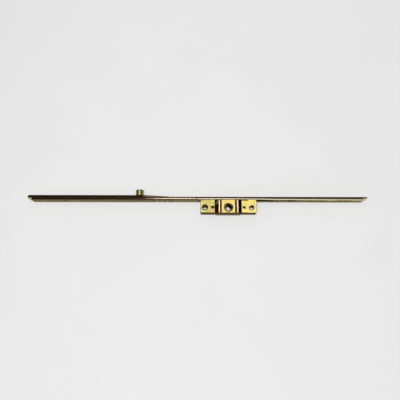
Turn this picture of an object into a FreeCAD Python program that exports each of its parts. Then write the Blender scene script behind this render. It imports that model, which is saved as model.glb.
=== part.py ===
import FreeCAD, Part
import math
import os

# Window espagnolette: a faceplate carries a gear case and, in a gap behind it, a drive rod. Turning the
# square spindle hole turns a toothed sector, whose teeth push the rod along through the windows punched in
# it. The rod carries a slide on the front of the faceplate, and a roller cam stands on the slide.
#
# Lengths are in millimetres. X runs along the bar, +Y is the way the cam points, and +Z is towards the
# handle. The origin is on the spindle's axis, in the plane of the back cover's rear face.

# Faceplate
FACEPLATE_LEFT = 277.0
FACEPLATE_RIGHT = 192.0
FACEPLATE_WIDTH = 16.0
FACEPLATE_THICKNESS = 1.6
FACEPLATE_CORNER = 2.0
FACEPLATE_EDGE = 0.25
BACKSET = 15.0

# Drive rods
ROD_WIDTH = 14.0
ROD_THICKNESS = 2.0
ROD_CORNER = 1.5
ROD_END_INSET = 5.0
LAP_LEFT_X = -76.0
LAP_RIGHT_X = -43.5
LAP_END_GAP = 0.3
LAP_RIVET_PLACES = (-65.6, -49.0)

# Gear
HANDLE_TURN = 90.0
TEETH_PER_TURN = 12
SECTOR_TEETH = 5
PITCH_LINE_IN_ROD = 0.16
WINDOW_LENGTH = 3.6
TOOTH_BACKLASH = 0.2
TOOTH_WIDTH = 6.0
TOOTH_TIP_BELOW_ROD_TOP = 0.2
ROOT_BELOW_ROD = 0.4
SECTOR_MARGIN_ANGLE = 12.0
SPINDLE_SQUARE = 7.1
HUB_RADIUS = 5.95
HUB_SHOULDER_RADIUS = 6.6
HUB_FRONT_RECESS = 1.2
HUB_REAR_RECESS = 0.3

# Gear case
CASE_REACH = 38.5
CASE_BELOW_AXIS = 7.5
CASE_CORNER = 1.6
CASE_EDGE = 0.4
BEARING_MOUTH = 0.5
COVER_REACH = 17.4
COVER_THICKNESS = 4.0
COVER_CORNER = 1.0
FRONT_WALL = 4.0
BLOCK_REACH = 9.1
GROOVE_REACH = 11.6
RIB_REACH = 13.6
CHAMBER_SIDE_REACH = 15.0
POCKET_REACH = 18.2
GROOVE_DEPTH = 2.8
POCKET_DEPTH = 10.0
POCKET_WALL = 1.3
WING_SKIN = 2.5
WING_WALL = 1.6
HANDLE_SCREW_SPACING = 43.0
HANDLE_SCREW_HOLE = 4.2
HANDLE_SCREW_BOSS = 8.4
HANDLE_SCREW_CHAMFER = 0.4
CASE_SCREW_SPACING = 64.4
CASE_SCREW_HOLE = 5.5
CASE_SCREW_HEAD = 8.8
CASE_SCREW_BOSS = 10.4

# Cover rivets
COVER_RIVET_RADIUS = 0.9
COVER_RIVET_LENGTH = 9.0
COVER_RIVET_PLACES = ((13.0, 8.0), (13.6, -5.9))

# Studs that hang the case
CASE_STUD_SPACING = 57.0
CASE_STUD_RADIUS = 2.0
CASE_STUD_DEPTH = 5.8
STUD_SLEEVE_RADIUS = 3.5
STUD_BOSS_MARGIN = 1.6

# Rod guides
GUIDE_PLACES_LEFT = (-92.0,)
GUIDE_PLACES_RIGHT = (72.0, 160.0)
GUIDE_RIVET_RADIUS = 1.5
GUIDE_BUSH_RADIUS = 3.0
GUIDE_FLANGE_RADIUS = 4.5
GUIDE_FLANGE_THICKNESS = 0.6
GUIDE_HEAD_RADIUS = 2.6
GUIDE_HEAD_THICKNESS = 0.5

# Faceplate screws
SCREW_LEFT_X = -215.0
SCREW_RIGHT_X = 125.0
FACEPLATE_SCREW_HOLE = 4.4
FACEPLATE_SCREW_HEAD = 6.8
SCREW_ACCESS_WIDTH = 9.0

# Cam slide
SLIDE_WIDTH = 14.0
SLIDE_THICKNESS = 2.5
SLIDE_RAMP_START_X = -113.0
SLIDE_RAMP_END_X = -82.0
SLIDE_TIP_THICKNESS = 0.6
SLIDE_CORNER = 1.5
SLIDE_EDGE = 0.3
SLIDE_END_RIVET_INSET = 21.0
SLIDE_MIDDLE_RIVET_X = -170.0
SPACER_RADIUS = 4.0

# Rivets in strips
RIVET_RADIUS = 2.0
RIVET_HEAD_RADIUS = 2.9
STRIP_HEAD_DEPTH = 0.9

# Roller cam
CAM_X = -123.1
CAM_STUD_RADIUS = 2.5
CAM_STUD_HEAD_RADIUS = 3.5
CAM_JOURNAL_RADIUS = 3.0
CAM_WASHER_RADIUS = 4.5
CAM_WASHER_THICKNESS = 0.8
ROLLER_RADIUS = 5.5
ROLLER_HEIGHT = 7.8
ROLLER_EDGE = 0.5
CAM_HEAD_RADIUS = 4.0
CAM_HEAD_THICKNESS = 1.3
CAM_KEY_SIDES = 6
CAM_KEY_ACROSS_FLATS = 3.0
CAM_KEY_DEPTH = 1.0

# Sides of a small fastener, of its hole and of a slot's two ends
FASTENER_SIDES = 16

# Distance below which two places count as one
SAME_PLACE = 1e-6

# Clearances
SLIDING_GAP = 0.1
RUNNING_GAP = 0.05
RIVET_GAP = 0.05
SIDE_GAP = 0.3
CHAMBER_GAP = 0.3
HEAD_GAP = 0.2
WASHER_GAP = 0.2

# Heights of the strips above the spindle's axis
faceplate_top = BACKSET
faceplate_underside = faceplate_top - FACEPLATE_THICKNESS
rod_top = faceplate_underside - SLIDING_GAP
rod_underside = rod_top - ROD_THICKNESS
lap_height = rod_underside + ROD_THICKNESS / 2
case_top = rod_underside - SLIDING_GAP
slide_underside = faceplate_top + SLIDING_GAP
slide_top = slide_underside + SLIDE_THICKNESS

# Places of the slide's rivets along the bar
slide_rivet_places = (-FACEPLATE_LEFT + SLIDE_END_RIVET_INSET, SLIDE_MIDDLE_RIVET_X)

# Depths, counted from the rear face to the front face
case_front = FACEPLATE_WIDTH
middle = FACEPLATE_WIDTH / 2
chamber_front = case_front - FRONT_WALL
tooth_rear = (COVER_THICKNESS + chamber_front - TOOTH_WIDTH) / 2

# Gear geometry: straight-sided rack windows ask for flanks that are involutes of the pitch circle itself
pitch_radius = rod_underside + PITCH_LINE_IN_ROD
rack_pitch = 2 * math.pi * pitch_radius / TEETH_PER_TURN
tooth_step = 2 * math.pi / TEETH_PER_TURN
tooth_half_angle = (WINDOW_LENGTH - TOOTH_BACKLASH) / 2 / pitch_radius
tip_radius = rod_top - TOOTH_TIP_BELOW_ROD_TOP
root_radius = rod_underside - ROOT_BELOW_ROD
sector_half_angle = tooth_step * (SECTOR_TEETH - 1) / 2 + math.radians(SECTOR_MARGIN_ANGLE)
half_turn = math.radians(HANDLE_TURN) / 2
half_stroke = pitch_radius * half_turn
sector_lowest = root_radius * math.cos(sector_half_angle + half_turn)
chamber_radius = tip_radius + CHAMBER_GAP
chamber_floor = sector_lowest - CHAMBER_GAP

CENTRE = FreeCAD.Vector(0, 0, 0)
ALONG_X = FreeCAD.Vector(1, 0, 0)
ALONG_Y = FreeCAD.Vector(0, 1, 0)
ALONG_Z = FreeCAD.Vector(0, 0, 1)


def block(x0, x1, y0, y1, z0, z1):
    """A box between two corners."""
    return Part.makeBox(x1 - x0, y1 - y0, z1 - z0, FreeCAD.Vector(x0, y0, z0))


def ring_of_corners(radius, sides, across, up):
    """The corners of an even-sided outline about the origin, closed, in the plane of two directions."""
    angles = [2 * math.pi * (i + 0.5) / sides for i in range(sides)]
    corners = [across * (radius * math.cos(a)) + up * (radius * math.sin(a)) for a in angles]
    return corners + corners[:1]


def outline_across_strips(x, y, radius, sides=FASTENER_SIDES):
    """A small fastener's outline, on the strips' centre line."""
    place = FreeCAD.Vector(x, y, middle)
    return [place + corner for corner in ring_of_corners(radius, sides, ALONG_Z, ALONG_X)]


def pin_along_y(x, radius, y0, y1):
    """A fastener's shank across the strips, with few sides."""
    return Part.Face(Part.makePolygon(outline_across_strips(x, y0, radius))).extrude(ALONG_Y * (y1 - y0))


def head_along_y(x, radius0, radius1, y0, y1):
    """A fastener's tapered head across the strips, with few flat sides."""
    low = outline_across_strips(x, y0, radius0)
    high = outline_across_strips(x, y1, radius1)
    outlines = [low, high]
    for i in range(FASTENER_SIDES):
        outlines.append([low[i], low[i + 1], high[i + 1], high[i], low[i]])
    faces = [Part.Face(Part.makePolygon(outline)) for outline in outlines]
    return Part.makeSolid(Part.makeShell(faces))


def round_along_y(x, radius, y0, y1):
    """A true cylinder across the strips, on their centre line."""
    return Part.makeCylinder(radius, y1 - y0, FreeCAD.Vector(x, y0, middle), ALONG_Y)


def cone_along_y(x, radius0, radius1, y0, y1):
    """A true cone across the strips, on their centre line."""
    return Part.makeCone(radius0, radius1, y1 - y0, FreeCAD.Vector(x, y0, middle), ALONG_Y)


def round_along_z(x, y, radius, z0, z1):
    """A true cylinder through the gear case, from rear to front."""
    return Part.makeCylinder(radius, z1 - z0, FreeCAD.Vector(x, y, z0), ALONG_Z)


def cone_along_z(x, y, radius0, radius1, z0, z1):
    """A true cone through the gear case."""
    return Part.makeCone(radius0, radius1, z1 - z0, FreeCAD.Vector(x, y, z0), ALONG_Z)


def slot_along_x(x, width, travel, y0, y1):
    """A slot across a strip, long enough for a pin of this width to travel."""
    corners = outline_across_strips(x, y0, width / 2)[:-1]
    shifted = [corner + ALONG_X * math.copysign(travel / 2, corner.x - x) for corner in corners]
    return Part.Face(Part.makePolygon(shifted + shifted[:1])).extrude(ALONG_Y * (y1 - y0))


def travel_slot(x, pin_radius, y0, y1):
    """The slot in which a pin moves by the whole stroke, with side gap all round."""
    return slot_along_x(x, 2 * (pin_radius + SIDE_GAP), 2 * half_stroke, y0, y1)


def edges_along(shape, direction):
    """The straight edges that run along a direction."""
    found = []
    for edge in shape.Edges:
        start, end = (vertex.Point for vertex in edge.Vertexes)
        if (end - start).cross(direction).Length < SAME_PLACE:
            found.append(edge)
    return found


def edges_in_plane(shape, direction, distance):
    """The edges that lie in a plane square to a direction, at a distance from the origin."""
    return [
        edge
        for edge in shape.Edges
        if all(abs(vertex.Point.dot(direction) - distance) < SAME_PLACE for vertex in edge.Vertexes)
    ]


def strip(x0, x1, width, y0, y1, corner):
    """A flat strip with rounded corners, centred on the bar's width."""
    half = width / 2
    plain = block(x0, x1, y0, y1, middle - half, middle + half)
    return plain.makeFillet(corner, edges_along(plain, ALONG_Y))


def flush_rivet(x, radius, head_radius, y0, y1):
    """A rivet with a flush cone head at each face of a stack."""
    shank = pin_along_y(x, radius, y0, y1)
    lower = head_along_y(x, head_radius, radius, y0, y0 + STRIP_HEAD_DEPTH)
    upper = head_along_y(x, radius, head_radius, y1 - STRIP_HEAD_DEPTH, y1)
    return shank.fuse([lower, upper]).removeSplitter()


def sleeve(x, outer_radius, inner_radius, y0, y1):
    """A plain round sleeve across the strips."""
    return pin_along_y(x, outer_radius, y0, y1).cut(pin_along_y(x, inner_radius, y0, y1))


def mirrored(places):
    """Each place and its mirror image across the spindle's axis."""
    return [(side * x, y) for x, y in places for side in (-1, 1)]


def involute_angle(radius):
    """How far a flank has turned from its foot on the pitch circle when it reaches a radius."""
    roll = math.acos(pitch_radius / radius)
    return math.tan(roll) - roll


def gear_point(radius, angle):
    """A point on the sector's rear face, at an angle clockwise from the bar."""
    return FreeCAD.Vector(radius * math.sin(angle), radius * math.cos(angle), tooth_rear)


def sector_tooth(centre):
    """One tooth: radial foot, involute flanks, round tip."""
    bite = root_radius - CHAMBER_GAP
    halfway = (pitch_radius + tip_radius) / 2

    def flank_point(radius, side):
        return gear_point(radius, centre + side * (tooth_half_angle - involute_angle(radius)))

    def foot_point(side):
        return gear_point(bite, centre + side * tooth_half_angle)

    left_foot, right_foot = foot_point(-1), foot_point(1)
    left_start, right_start = flank_point(pitch_radius, -1), flank_point(pitch_radius, 1)
    left_tip, right_tip = flank_point(tip_radius, -1), flank_point(tip_radius, 1)
    outline = [
        Part.LineSegment(left_foot, left_start).toShape(),
        Part.Arc(left_start, flank_point(halfway, -1), left_tip).toShape(),
        Part.Arc(left_tip, gear_point(tip_radius, centre), right_tip).toShape(),
        Part.Arc(right_tip, flank_point(halfway, 1), right_start).toShape(),
        Part.LineSegment(right_start, right_foot).toShape(),
        Part.Arc(right_foot, gear_point(bite, centre), left_foot).toShape(),
    ]
    return Part.Face(Part.Wire(outline)).extrude(ALONG_Z * TOOTH_WIDTH)


def sector_fan():
    """The fan-shaped web that carries the teeth."""
    centre = gear_point(0, 0)
    left = gear_point(root_radius, -sector_half_angle)
    right = gear_point(root_radius, sector_half_angle)
    outline = [
        Part.LineSegment(centre, left).toShape(),
        Part.Arc(left, gear_point(root_radius, 0), right).toShape(),
        Part.LineSegment(right, centre).toShape(),
    ]
    return Part.Face(Part.Wire(outline)).extrude(ALONG_Z * TOOTH_WIDTH)


def make_spindle_follower():
    """Hub with the square spindle hole, shown at the middle of its turn, and the toothed sector."""
    front = case_front - HUB_FRONT_RECESS
    journal = round_along_z(0, 0, HUB_RADIUS, HUB_REAR_RECESS, front)
    shoulder_rear = COVER_THICKNESS + SLIDING_GAP
    shoulder = round_along_z(0, 0, HUB_SHOULDER_RADIUS, shoulder_rear, chamber_front - SLIDING_GAP)
    first = -(SECTOR_TEETH - 1) / 2
    teeth = [sector_tooth((first + i) * tooth_step) for i in range(SECTOR_TEETH)]
    solid = journal.fuse([shoulder, sector_fan()] + teeth).removeSplitter()
    half = SPINDLE_SQUARE / 2
    square = block(-half, half, -half, half, 0, case_front)
    square.rotate(CENTRE, ALONG_Z, math.degrees(half_turn))
    return solid.cut(square)


def wing_core(side):
    """The space cored out of a wing from behind, around its bosses."""
    inner = POCKET_REACH + WING_WALL
    outer = CASE_REACH - WING_WALL
    low = -CASE_BELOW_AXIS + WING_WALL
    high = case_top - WING_WALL
    top = case_front - WING_SKIN
    core = block(inner, outer, low, high, COVER_THICKNESS, top)
    core = core.makeFillet(CASE_CORNER / 2, edges_along(core, ALONG_Z))
    handle_boss = round_along_z(HANDLE_SCREW_SPACING / 2, 0, HANDLE_SCREW_BOSS / 2, COVER_THICKNESS, top)
    case_boss = round_along_z(CASE_SCREW_SPACING / 2, 0, CASE_SCREW_BOSS / 2, COVER_THICKNESS, top)
    stud_x = CASE_STUD_SPACING / 2
    reach = CASE_STUD_RADIUS + STUD_BOSS_MARGIN
    foot = case_top - CASE_STUD_DEPTH - STUD_BOSS_MARGIN
    stud_boss = block(stud_x - reach, stud_x + reach, foot, high, COVER_THICKNESS, top)
    core = core.cut([handle_boss, case_boss, stud_boss])
    return core if side > 0 else core.mirror(CENTRE, ALONG_X)


def front_recesses(side):
    """Two grooves across the case, beside the centre block and the wing, and a deep pocket in the outer one."""
    groove_floor = case_front - GROOVE_DEPTH
    pocket_floor = case_front - POCKET_DEPTH
    bottom = -CASE_BELOW_AXIS
    spans = (
        (BLOCK_REACH, GROOVE_REACH, bottom, groove_floor),
        (RIB_REACH, POCKET_REACH, bottom, groove_floor),
        (CHAMBER_SIDE_REACH, POCKET_REACH, bottom + POCKET_WALL, pocket_floor),
    )
    recesses = []
    for near, far, low, floor in spans:
        x0, x1 = sorted((side * near, side * far))
        recesses.append(block(x0, x1, low, case_top, floor, case_front))
    return recesses


def gear_chamber():
    """The space the sector swings in, open to the rod above and to the rear."""
    round_space = round_along_z(0, 0, chamber_radius, COVER_THICKNESS, chamber_front)
    above_floor = block(
        -chamber_radius, chamber_radius, chamber_floor, chamber_radius, COVER_THICKNESS, chamber_front
    )
    hub_space = round_along_z(0, 0, HUB_SHOULDER_RADIUS + CHAMBER_GAP, COVER_THICKNESS, chamber_front)
    return round_space.common(above_floor).fuse(hub_space).removeSplitter()


def cover_rivet(x, y, gap):
    """A flush rivet of the back cover, with few sides, or with a gap, the hole it sits in."""
    corners = ring_of_corners(COVER_RIVET_RADIUS + gap, FASTENER_SIDES, ALONG_X, ALONG_Y)
    outline = Part.makePolygon([corner + FreeCAD.Vector(x, y, 0) for corner in corners])
    return Part.Face(outline).extrude(ALONG_Z * (COVER_RIVET_LENGTH + gap))


def make_gear_housing():
    """Die-cast case: wings with screw holes, centre block with the front bearing, ribs, pockets, chamber."""
    case = block(-CASE_REACH, CASE_REACH, -CASE_BELOW_AXIS, case_top, COVER_THICKNESS, case_front)
    case = case.makeFillet(CASE_CORNER, edges_along(case, ALONG_Z))
    case = case.makeChamfer(CASE_EDGE, edges_in_plane(case, ALONG_Z, case_front))
    bearing = HUB_RADIUS + RUNNING_GAP
    mouth = cone_along_z(0, 0, bearing, bearing + BEARING_MOUTH, case_front - BEARING_MOUTH, case_front)
    tools = [gear_chamber(), round_along_z(0, 0, bearing, COVER_THICKNESS, case_front), mouth]
    for side in (-1, 1):
        tools += front_recesses(side)
        tools.append(wing_core(side))
        x = side * HANDLE_SCREW_SPACING / 2
        radius = HANDLE_SCREW_HOLE / 2
        tools.append(round_along_z(x, 0, radius, COVER_THICKNESS, case_front))
        rim = case_front - HANDLE_SCREW_CHAMFER
        tools.append(cone_along_z(x, 0, radius, radius + HANDLE_SCREW_CHAMFER, rim, case_front))
        x = side * CASE_SCREW_SPACING / 2
        radius = CASE_SCREW_HOLE / 2
        head_radius = CASE_SCREW_HEAD / 2
        tools.append(round_along_z(x, 0, radius, COVER_THICKNESS, case_front))
        rim = case_front - (head_radius - radius)
        tools.append(cone_along_z(x, 0, radius, head_radius, rim, case_front))
        x = side * CASE_STUD_SPACING / 2
        tools.append(pin_along_y(x, CASE_STUD_RADIUS + RIVET_GAP, case_top - CASE_STUD_DEPTH, case_top))
    tools += [cover_rivet(x, y, RIVET_GAP) for x, y in mirrored(COVER_RIVET_PLACES)]
    return case.cut(tools)


def make_gear_back_cover():
    """Rear plate with the follower's rear bearing."""
    cover = block(-COVER_REACH, COVER_REACH, -CASE_BELOW_AXIS, case_top, 0, COVER_THICKNESS)
    cover = cover.makeFillet(COVER_CORNER, edges_along(cover, ALONG_Z))
    cover = cover.makeChamfer(CASE_EDGE, edges_in_plane(cover, ALONG_Z, 0))
    bearing = round_along_z(0, 0, HUB_RADIUS + RUNNING_GAP, 0, COVER_THICKNESS)
    return cover.cut([bearing] + [cover_rivet(x, y, RIVET_GAP) for x, y in mirrored(COVER_RIVET_PLACES)])


def make_cover_rivets():
    """Four rivets through the back cover into the case."""
    return Part.makeCompound([cover_rivet(x, y, 0) for x, y in mirrored(COVER_RIVET_PLACES)])


def headed_hole(x, radius, head_radius):
    """A hole through the faceplate with a cone for a flush head."""
    hole = round_along_y(x, radius, faceplate_underside, faceplate_top)
    depth = head_radius - radius
    return hole.fuse(cone_along_y(x, radius, head_radius, faceplate_top - depth, faceplate_top))


def faceplate_head(x, radius, gap):
    """The flush riveted head in the faceplate's front, or with a gap, its seat."""
    return head_along_y(
        x, radius + gap, RIVET_HEAD_RADIUS + gap, faceplate_top - STRIP_HEAD_DEPTH, faceplate_top
    )


def make_faceplate():
    """Long cover strip with the slide's slots, screw holes and rivet seats."""
    low, high = faceplate_underside, faceplate_top
    plate = strip(-FACEPLATE_LEFT, FACEPLATE_RIGHT, FACEPLATE_WIDTH, low, high, FACEPLATE_CORNER)
    plate = plate.makeChamfer(FACEPLATE_EDGE, edges_in_plane(plate, ALONG_Y, high))
    tools = [travel_slot(x, SPACER_RADIUS, low, high) for x in slide_rivet_places + (CAM_X,)]
    for x in (SCREW_LEFT_X, SCREW_RIGHT_X):
        tools.append(headed_hole(x, FACEPLATE_SCREW_HOLE / 2, FACEPLATE_SCREW_HEAD / 2))
    for x in GUIDE_PLACES_LEFT + GUIDE_PLACES_RIGHT:
        tools.append(pin_along_y(x, GUIDE_RIVET_RADIUS + RIVET_GAP, low, high))
        tools.append(faceplate_head(x, GUIDE_RIVET_RADIUS, RIVET_GAP))
    for x in (-CASE_STUD_SPACING / 2, CASE_STUD_SPACING / 2):
        tools.append(pin_along_y(x, CASE_STUD_RADIUS + RIVET_GAP, low, high))
        tools.append(faceplate_head(x, CASE_STUD_RADIUS, RIVET_GAP))
    return plate.cut(tools)


def make_case_studs():
    """Two studs, pressed into the case and riveted flush in the faceplate."""
    studs = []
    for x in (-CASE_STUD_SPACING / 2, CASE_STUD_SPACING / 2):
        shank = pin_along_y(x, CASE_STUD_RADIUS, case_top - CASE_STUD_DEPTH, faceplate_top)
        studs.append(shank.fuse(faceplate_head(x, CASE_STUD_RADIUS, 0)).removeSplitter())
    return Part.makeCompound(studs)


def make_stud_sleeves():
    """Two sleeves that hold the case off the faceplate."""
    inner = CASE_STUD_RADIUS + RIVET_GAP
    places = (-CASE_STUD_SPACING / 2, CASE_STUD_SPACING / 2)
    return Part.makeCompound(
        [sleeve(x, STUD_SLEEVE_RADIUS, inner, case_top, faceplate_underside) for x in places]
    )


def make_guide_bushes():
    """Flanged bushes that the rod slides on."""
    inner = GUIDE_RIVET_RADIUS + RIVET_GAP
    flange_low = case_top - GUIDE_FLANGE_THICKNESS
    bushes = []
    for x in GUIDE_PLACES_LEFT + GUIDE_PLACES_RIGHT:
        body = pin_along_y(x, GUIDE_BUSH_RADIUS, case_top, faceplate_underside)
        flange = pin_along_y(x, GUIDE_FLANGE_RADIUS, flange_low, case_top)
        bushes.append(body.fuse(flange).cut(pin_along_y(x, inner, flange_low, faceplate_underside)))
    return Part.makeCompound(bushes)


def make_guide_rivets():
    """Rivets that hold the guide bushes under the faceplate."""
    head_top = case_top - GUIDE_FLANGE_THICKNESS
    head_low = head_top - GUIDE_HEAD_THICKNESS
    rivets = []
    for x in GUIDE_PLACES_LEFT + GUIDE_PLACES_RIGHT:
        shank = pin_along_y(x, GUIDE_RIVET_RADIUS, head_low, faceplate_top)
        lower = pin_along_y(x, GUIDE_HEAD_RADIUS, head_low, head_top)
        rivets.append(shank.fuse([lower, faceplate_head(x, GUIDE_RIVET_RADIUS, 0)]).removeSplitter())
    return Part.makeCompound(rivets)


def rivet_seat(x, radius, head_radius, y0, y1):
    """The hole that a flush rivet fills, with a little room."""
    return flush_rivet(x, radius + RIVET_GAP, head_radius + RIVET_GAP, y0, y1)


def lap_seats():
    """The holes of the lap's rivets."""
    return [rivet_seat(x, RIVET_RADIUS, RIVET_HEAD_RADIUS, rod_underside, rod_top) for x in LAP_RIVET_PLACES]


def slide_seats():
    """The holes of the rivets and the stud that tie the slide to the rod."""
    seats = [
        rivet_seat(x, RIVET_RADIUS, RIVET_HEAD_RADIUS, rod_underside, slide_top) for x in slide_rivet_places
    ]
    seats.append(pin_along_y(CAM_X, CAM_STUD_RADIUS + RIVET_GAP, rod_underside, slide_top))
    lower = CAM_STUD_HEAD_RADIUS + RIVET_GAP
    head_end = rod_underside + STRIP_HEAD_DEPTH
    seats.append(head_along_y(CAM_X, lower, CAM_STUD_RADIUS + RIVET_GAP, rod_underside, head_end))
    return seats


def rack_window(index):
    """One straight-sided window of the rack."""
    x = index * rack_pitch
    half = WINDOW_LENGTH / 2
    reach = TOOTH_WIDTH / 2 + SIDE_GAP
    centre = tooth_rear + TOOTH_WIDTH / 2
    return block(x - half, x + half, rod_underside, rod_top, centre - reach, centre + reach)


def make_rack_rod():
    """Right drive rod: lap tongue, rack windows and the slots for studs, guides and the screw."""
    low, high = rod_underside, rod_top
    left, right = LAP_LEFT_X + LAP_END_GAP, FACEPLATE_RIGHT - ROD_END_INSET
    rod = strip(left, right, ROD_WIDTH, low, high, ROD_CORNER)
    lap_space = block(LAP_LEFT_X, LAP_RIGHT_X, lap_height, high, 0, case_front)
    last = (SECTOR_TEETH - 1) // 2
    tools = [lap_space] + lap_seats() + [rack_window(i) for i in range(-last, last + 1)]
    for x in (-CASE_STUD_SPACING / 2, CASE_STUD_SPACING / 2):
        tools.append(travel_slot(x, STUD_SLEEVE_RADIUS, low, high))
    tools += [travel_slot(x, GUIDE_BUSH_RADIUS, low, high) for x in GUIDE_PLACES_RIGHT]
    tools.append(travel_slot(SCREW_RIGHT_X, FACEPLATE_SCREW_HEAD / 2, low, high))
    return rod.cut(tools)


def make_drive_rod():
    """Left drive rod, whose tongue lies on the rack rod's."""
    low, high = rod_underside, rod_top
    left, right = -FACEPLATE_LEFT + ROD_END_INSET, LAP_RIGHT_X - LAP_END_GAP
    rod = strip(left, right, ROD_WIDTH, low, high, ROD_CORNER)
    lap_space = block(LAP_LEFT_X, LAP_RIGHT_X, low, lap_height, 0, case_front)
    tools = [lap_space] + lap_seats() + slide_seats()
    tools += [travel_slot(x, GUIDE_BUSH_RADIUS, low, high) for x in GUIDE_PLACES_LEFT]
    tools.append(travel_slot(SCREW_LEFT_X, FACEPLATE_SCREW_HEAD / 2, low, high))
    return rod.cut(tools)


def make_lap_rivets():
    """Two flush rivets through both tongues."""
    low, high = rod_underside, rod_top
    return Part.makeCompound(
        [flush_rivet(x, RIVET_RADIUS, RIVET_HEAD_RADIUS, low, high) for x in LAP_RIVET_PLACES]
    )


def make_cam_slide():
    """Strip on the front of the faceplate, thinned to a ramp at its right end."""
    half = SLIDE_WIDTH / 2
    tip_top = slide_underside + SLIDE_TIP_THICKNESS
    side_view = [
        (-FACEPLATE_LEFT, slide_underside),
        (SLIDE_RAMP_END_X, slide_underside),
        (SLIDE_RAMP_END_X, tip_top),
        (SLIDE_RAMP_START_X, slide_top),
        (-FACEPLATE_LEFT, slide_top),
    ]
    corners = [FreeCAD.Vector(x, y, middle - half) for x, y in side_view]
    slide = Part.Face(Part.makePolygon(corners + corners[:1])).extrude(ALONG_Z * SLIDE_WIDTH)
    slide = slide.makeFillet(SLIDE_CORNER, edges_along(slide, ALONG_Y))
    slide = slide.makeChamfer(SLIDE_EDGE, edges_in_plane(slide, ALONG_Y, slide_top))
    access = slot_along_x(SCREW_LEFT_X, SCREW_ACCESS_WIDTH, 2 * half_stroke, slide_underside, slide_top)
    return slide.cut([access] + slide_seats())


def make_slide_rivets():
    """Two flush rivets from the slide down to the rod."""
    low, high = rod_underside, slide_top
    return Part.makeCompound(
        [flush_rivet(x, RIVET_RADIUS, RIVET_HEAD_RADIUS, low, high) for x in slide_rivet_places]
    )


def make_slide_spacers():
    """Two sleeves between rod and slide, in the faceplate's slots."""
    inner = RIVET_RADIUS + RIVET_GAP
    return Part.makeCompound(
        [sleeve(x, SPACER_RADIUS, inner, rod_top, slide_underside) for x in slide_rivet_places]
    )


def make_cam_spacer():
    """Sleeve between rod and slide, around the cam's stud."""
    return sleeve(CAM_X, SPACER_RADIUS, CAM_STUD_RADIUS + RIVET_GAP, rod_top, slide_underside)


def make_cam_washer():
    """Washer between slide and roller."""
    high = slide_top + CAM_WASHER_THICKNESS
    return sleeve(CAM_X, CAM_WASHER_RADIUS, CAM_JOURNAL_RADIUS + WASHER_GAP, slide_top, high)


def roller_bottom():
    """Height of the roller's lower face."""
    return slide_top + CAM_WASHER_THICKNESS + SLIDING_GAP


def make_cam_roller():
    """Roller with a counterbore that takes the stud's head."""
    low = roller_bottom()
    high = low + ROLLER_HEIGHT
    roller = round_along_y(CAM_X, ROLLER_RADIUS, low, high)
    rims = edges_in_plane(roller, ALONG_Y, low) + edges_in_plane(roller, ALONG_Y, high)
    roller = roller.makeChamfer(ROLLER_EDGE, rims)
    bore = round_along_y(CAM_X, CAM_JOURNAL_RADIUS + RUNNING_GAP, low, high)
    head_seat = high - CAM_HEAD_THICKNESS - SLIDING_GAP
    counterbore = round_along_y(CAM_X, CAM_HEAD_RADIUS + HEAD_GAP, head_seat, high)
    return roller.cut([bore, counterbore])


def key_recess(y0, y1):
    """The key recess in the stud's head."""
    radius = CAM_KEY_ACROSS_FLATS / 2 / math.cos(math.pi / CAM_KEY_SIDES)
    outline = Part.makePolygon(outline_across_strips(CAM_X, y0, radius, CAM_KEY_SIDES))
    return Part.Face(outline).extrude(ALONG_Y * (y1 - y0))


def make_cam_stud():
    """Stud riveted under the rod, with the roller's journal and a flat head with a key recess."""
    top = roller_bottom() + ROLLER_HEIGHT
    head_low = top - CAM_HEAD_THICKNESS
    shank = pin_along_y(CAM_X, CAM_STUD_RADIUS, rod_underside, slide_top)
    foot_end = rod_underside + STRIP_HEAD_DEPTH
    foot = head_along_y(CAM_X, CAM_STUD_HEAD_RADIUS, CAM_STUD_RADIUS, rod_underside, foot_end)
    journal = round_along_y(CAM_X, CAM_JOURNAL_RADIUS, slide_top, head_low)
    head = round_along_y(CAM_X, CAM_HEAD_RADIUS, head_low, top)
    stud = shank.fuse([foot, journal, head]).removeSplitter()
    return stud.cut(key_recess(top - CAM_KEY_DEPTH, top))


PIECES = {
    "faceplate": make_faceplate,
    "gear_housing": make_gear_housing,
    "gear_back_cover": make_gear_back_cover,
    "cover_rivets": make_cover_rivets,
    "case_studs": make_case_studs,
    "stud_sleeves": make_stud_sleeves,
    "guide_rivets": make_guide_rivets,
    "guide_bushes": make_guide_bushes,
    "spindle_follower": make_spindle_follower,
    "rack_rod": make_rack_rod,
    "drive_rod": make_drive_rod,
    "lap_rivets": make_lap_rivets,
    "cam_slide": make_cam_slide,
    "slide_rivets": make_slide_rivets,
    "slide_spacers": make_slide_spacers,
    "cam_spacer": make_cam_spacer,
    "cam_stud": make_cam_stud,
    "cam_washer": make_cam_washer,
    "cam_roller": make_cam_roller,
}

os.makedirs("parts", exist_ok=True)
for name, make in PIECES.items():
    shape = make()
    shape.exportStep("parts/" + name + ".step")
    print(name, "solids", len(shape.Solids), "volume", round(shape.Volume, 1), "valid", shape.isValid())
print("half stroke", round(half_stroke, 3), "pitch radius", round(pitch_radius, 3))
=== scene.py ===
"""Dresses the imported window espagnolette: finishes, turned fasteners, roller cam, threads and studio."""
import logging
import math
from dataclasses import dataclass, field
from enum import Enum
from typing import Callable, Dict, List, Mapping, Sequence, Tuple, Union

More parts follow.
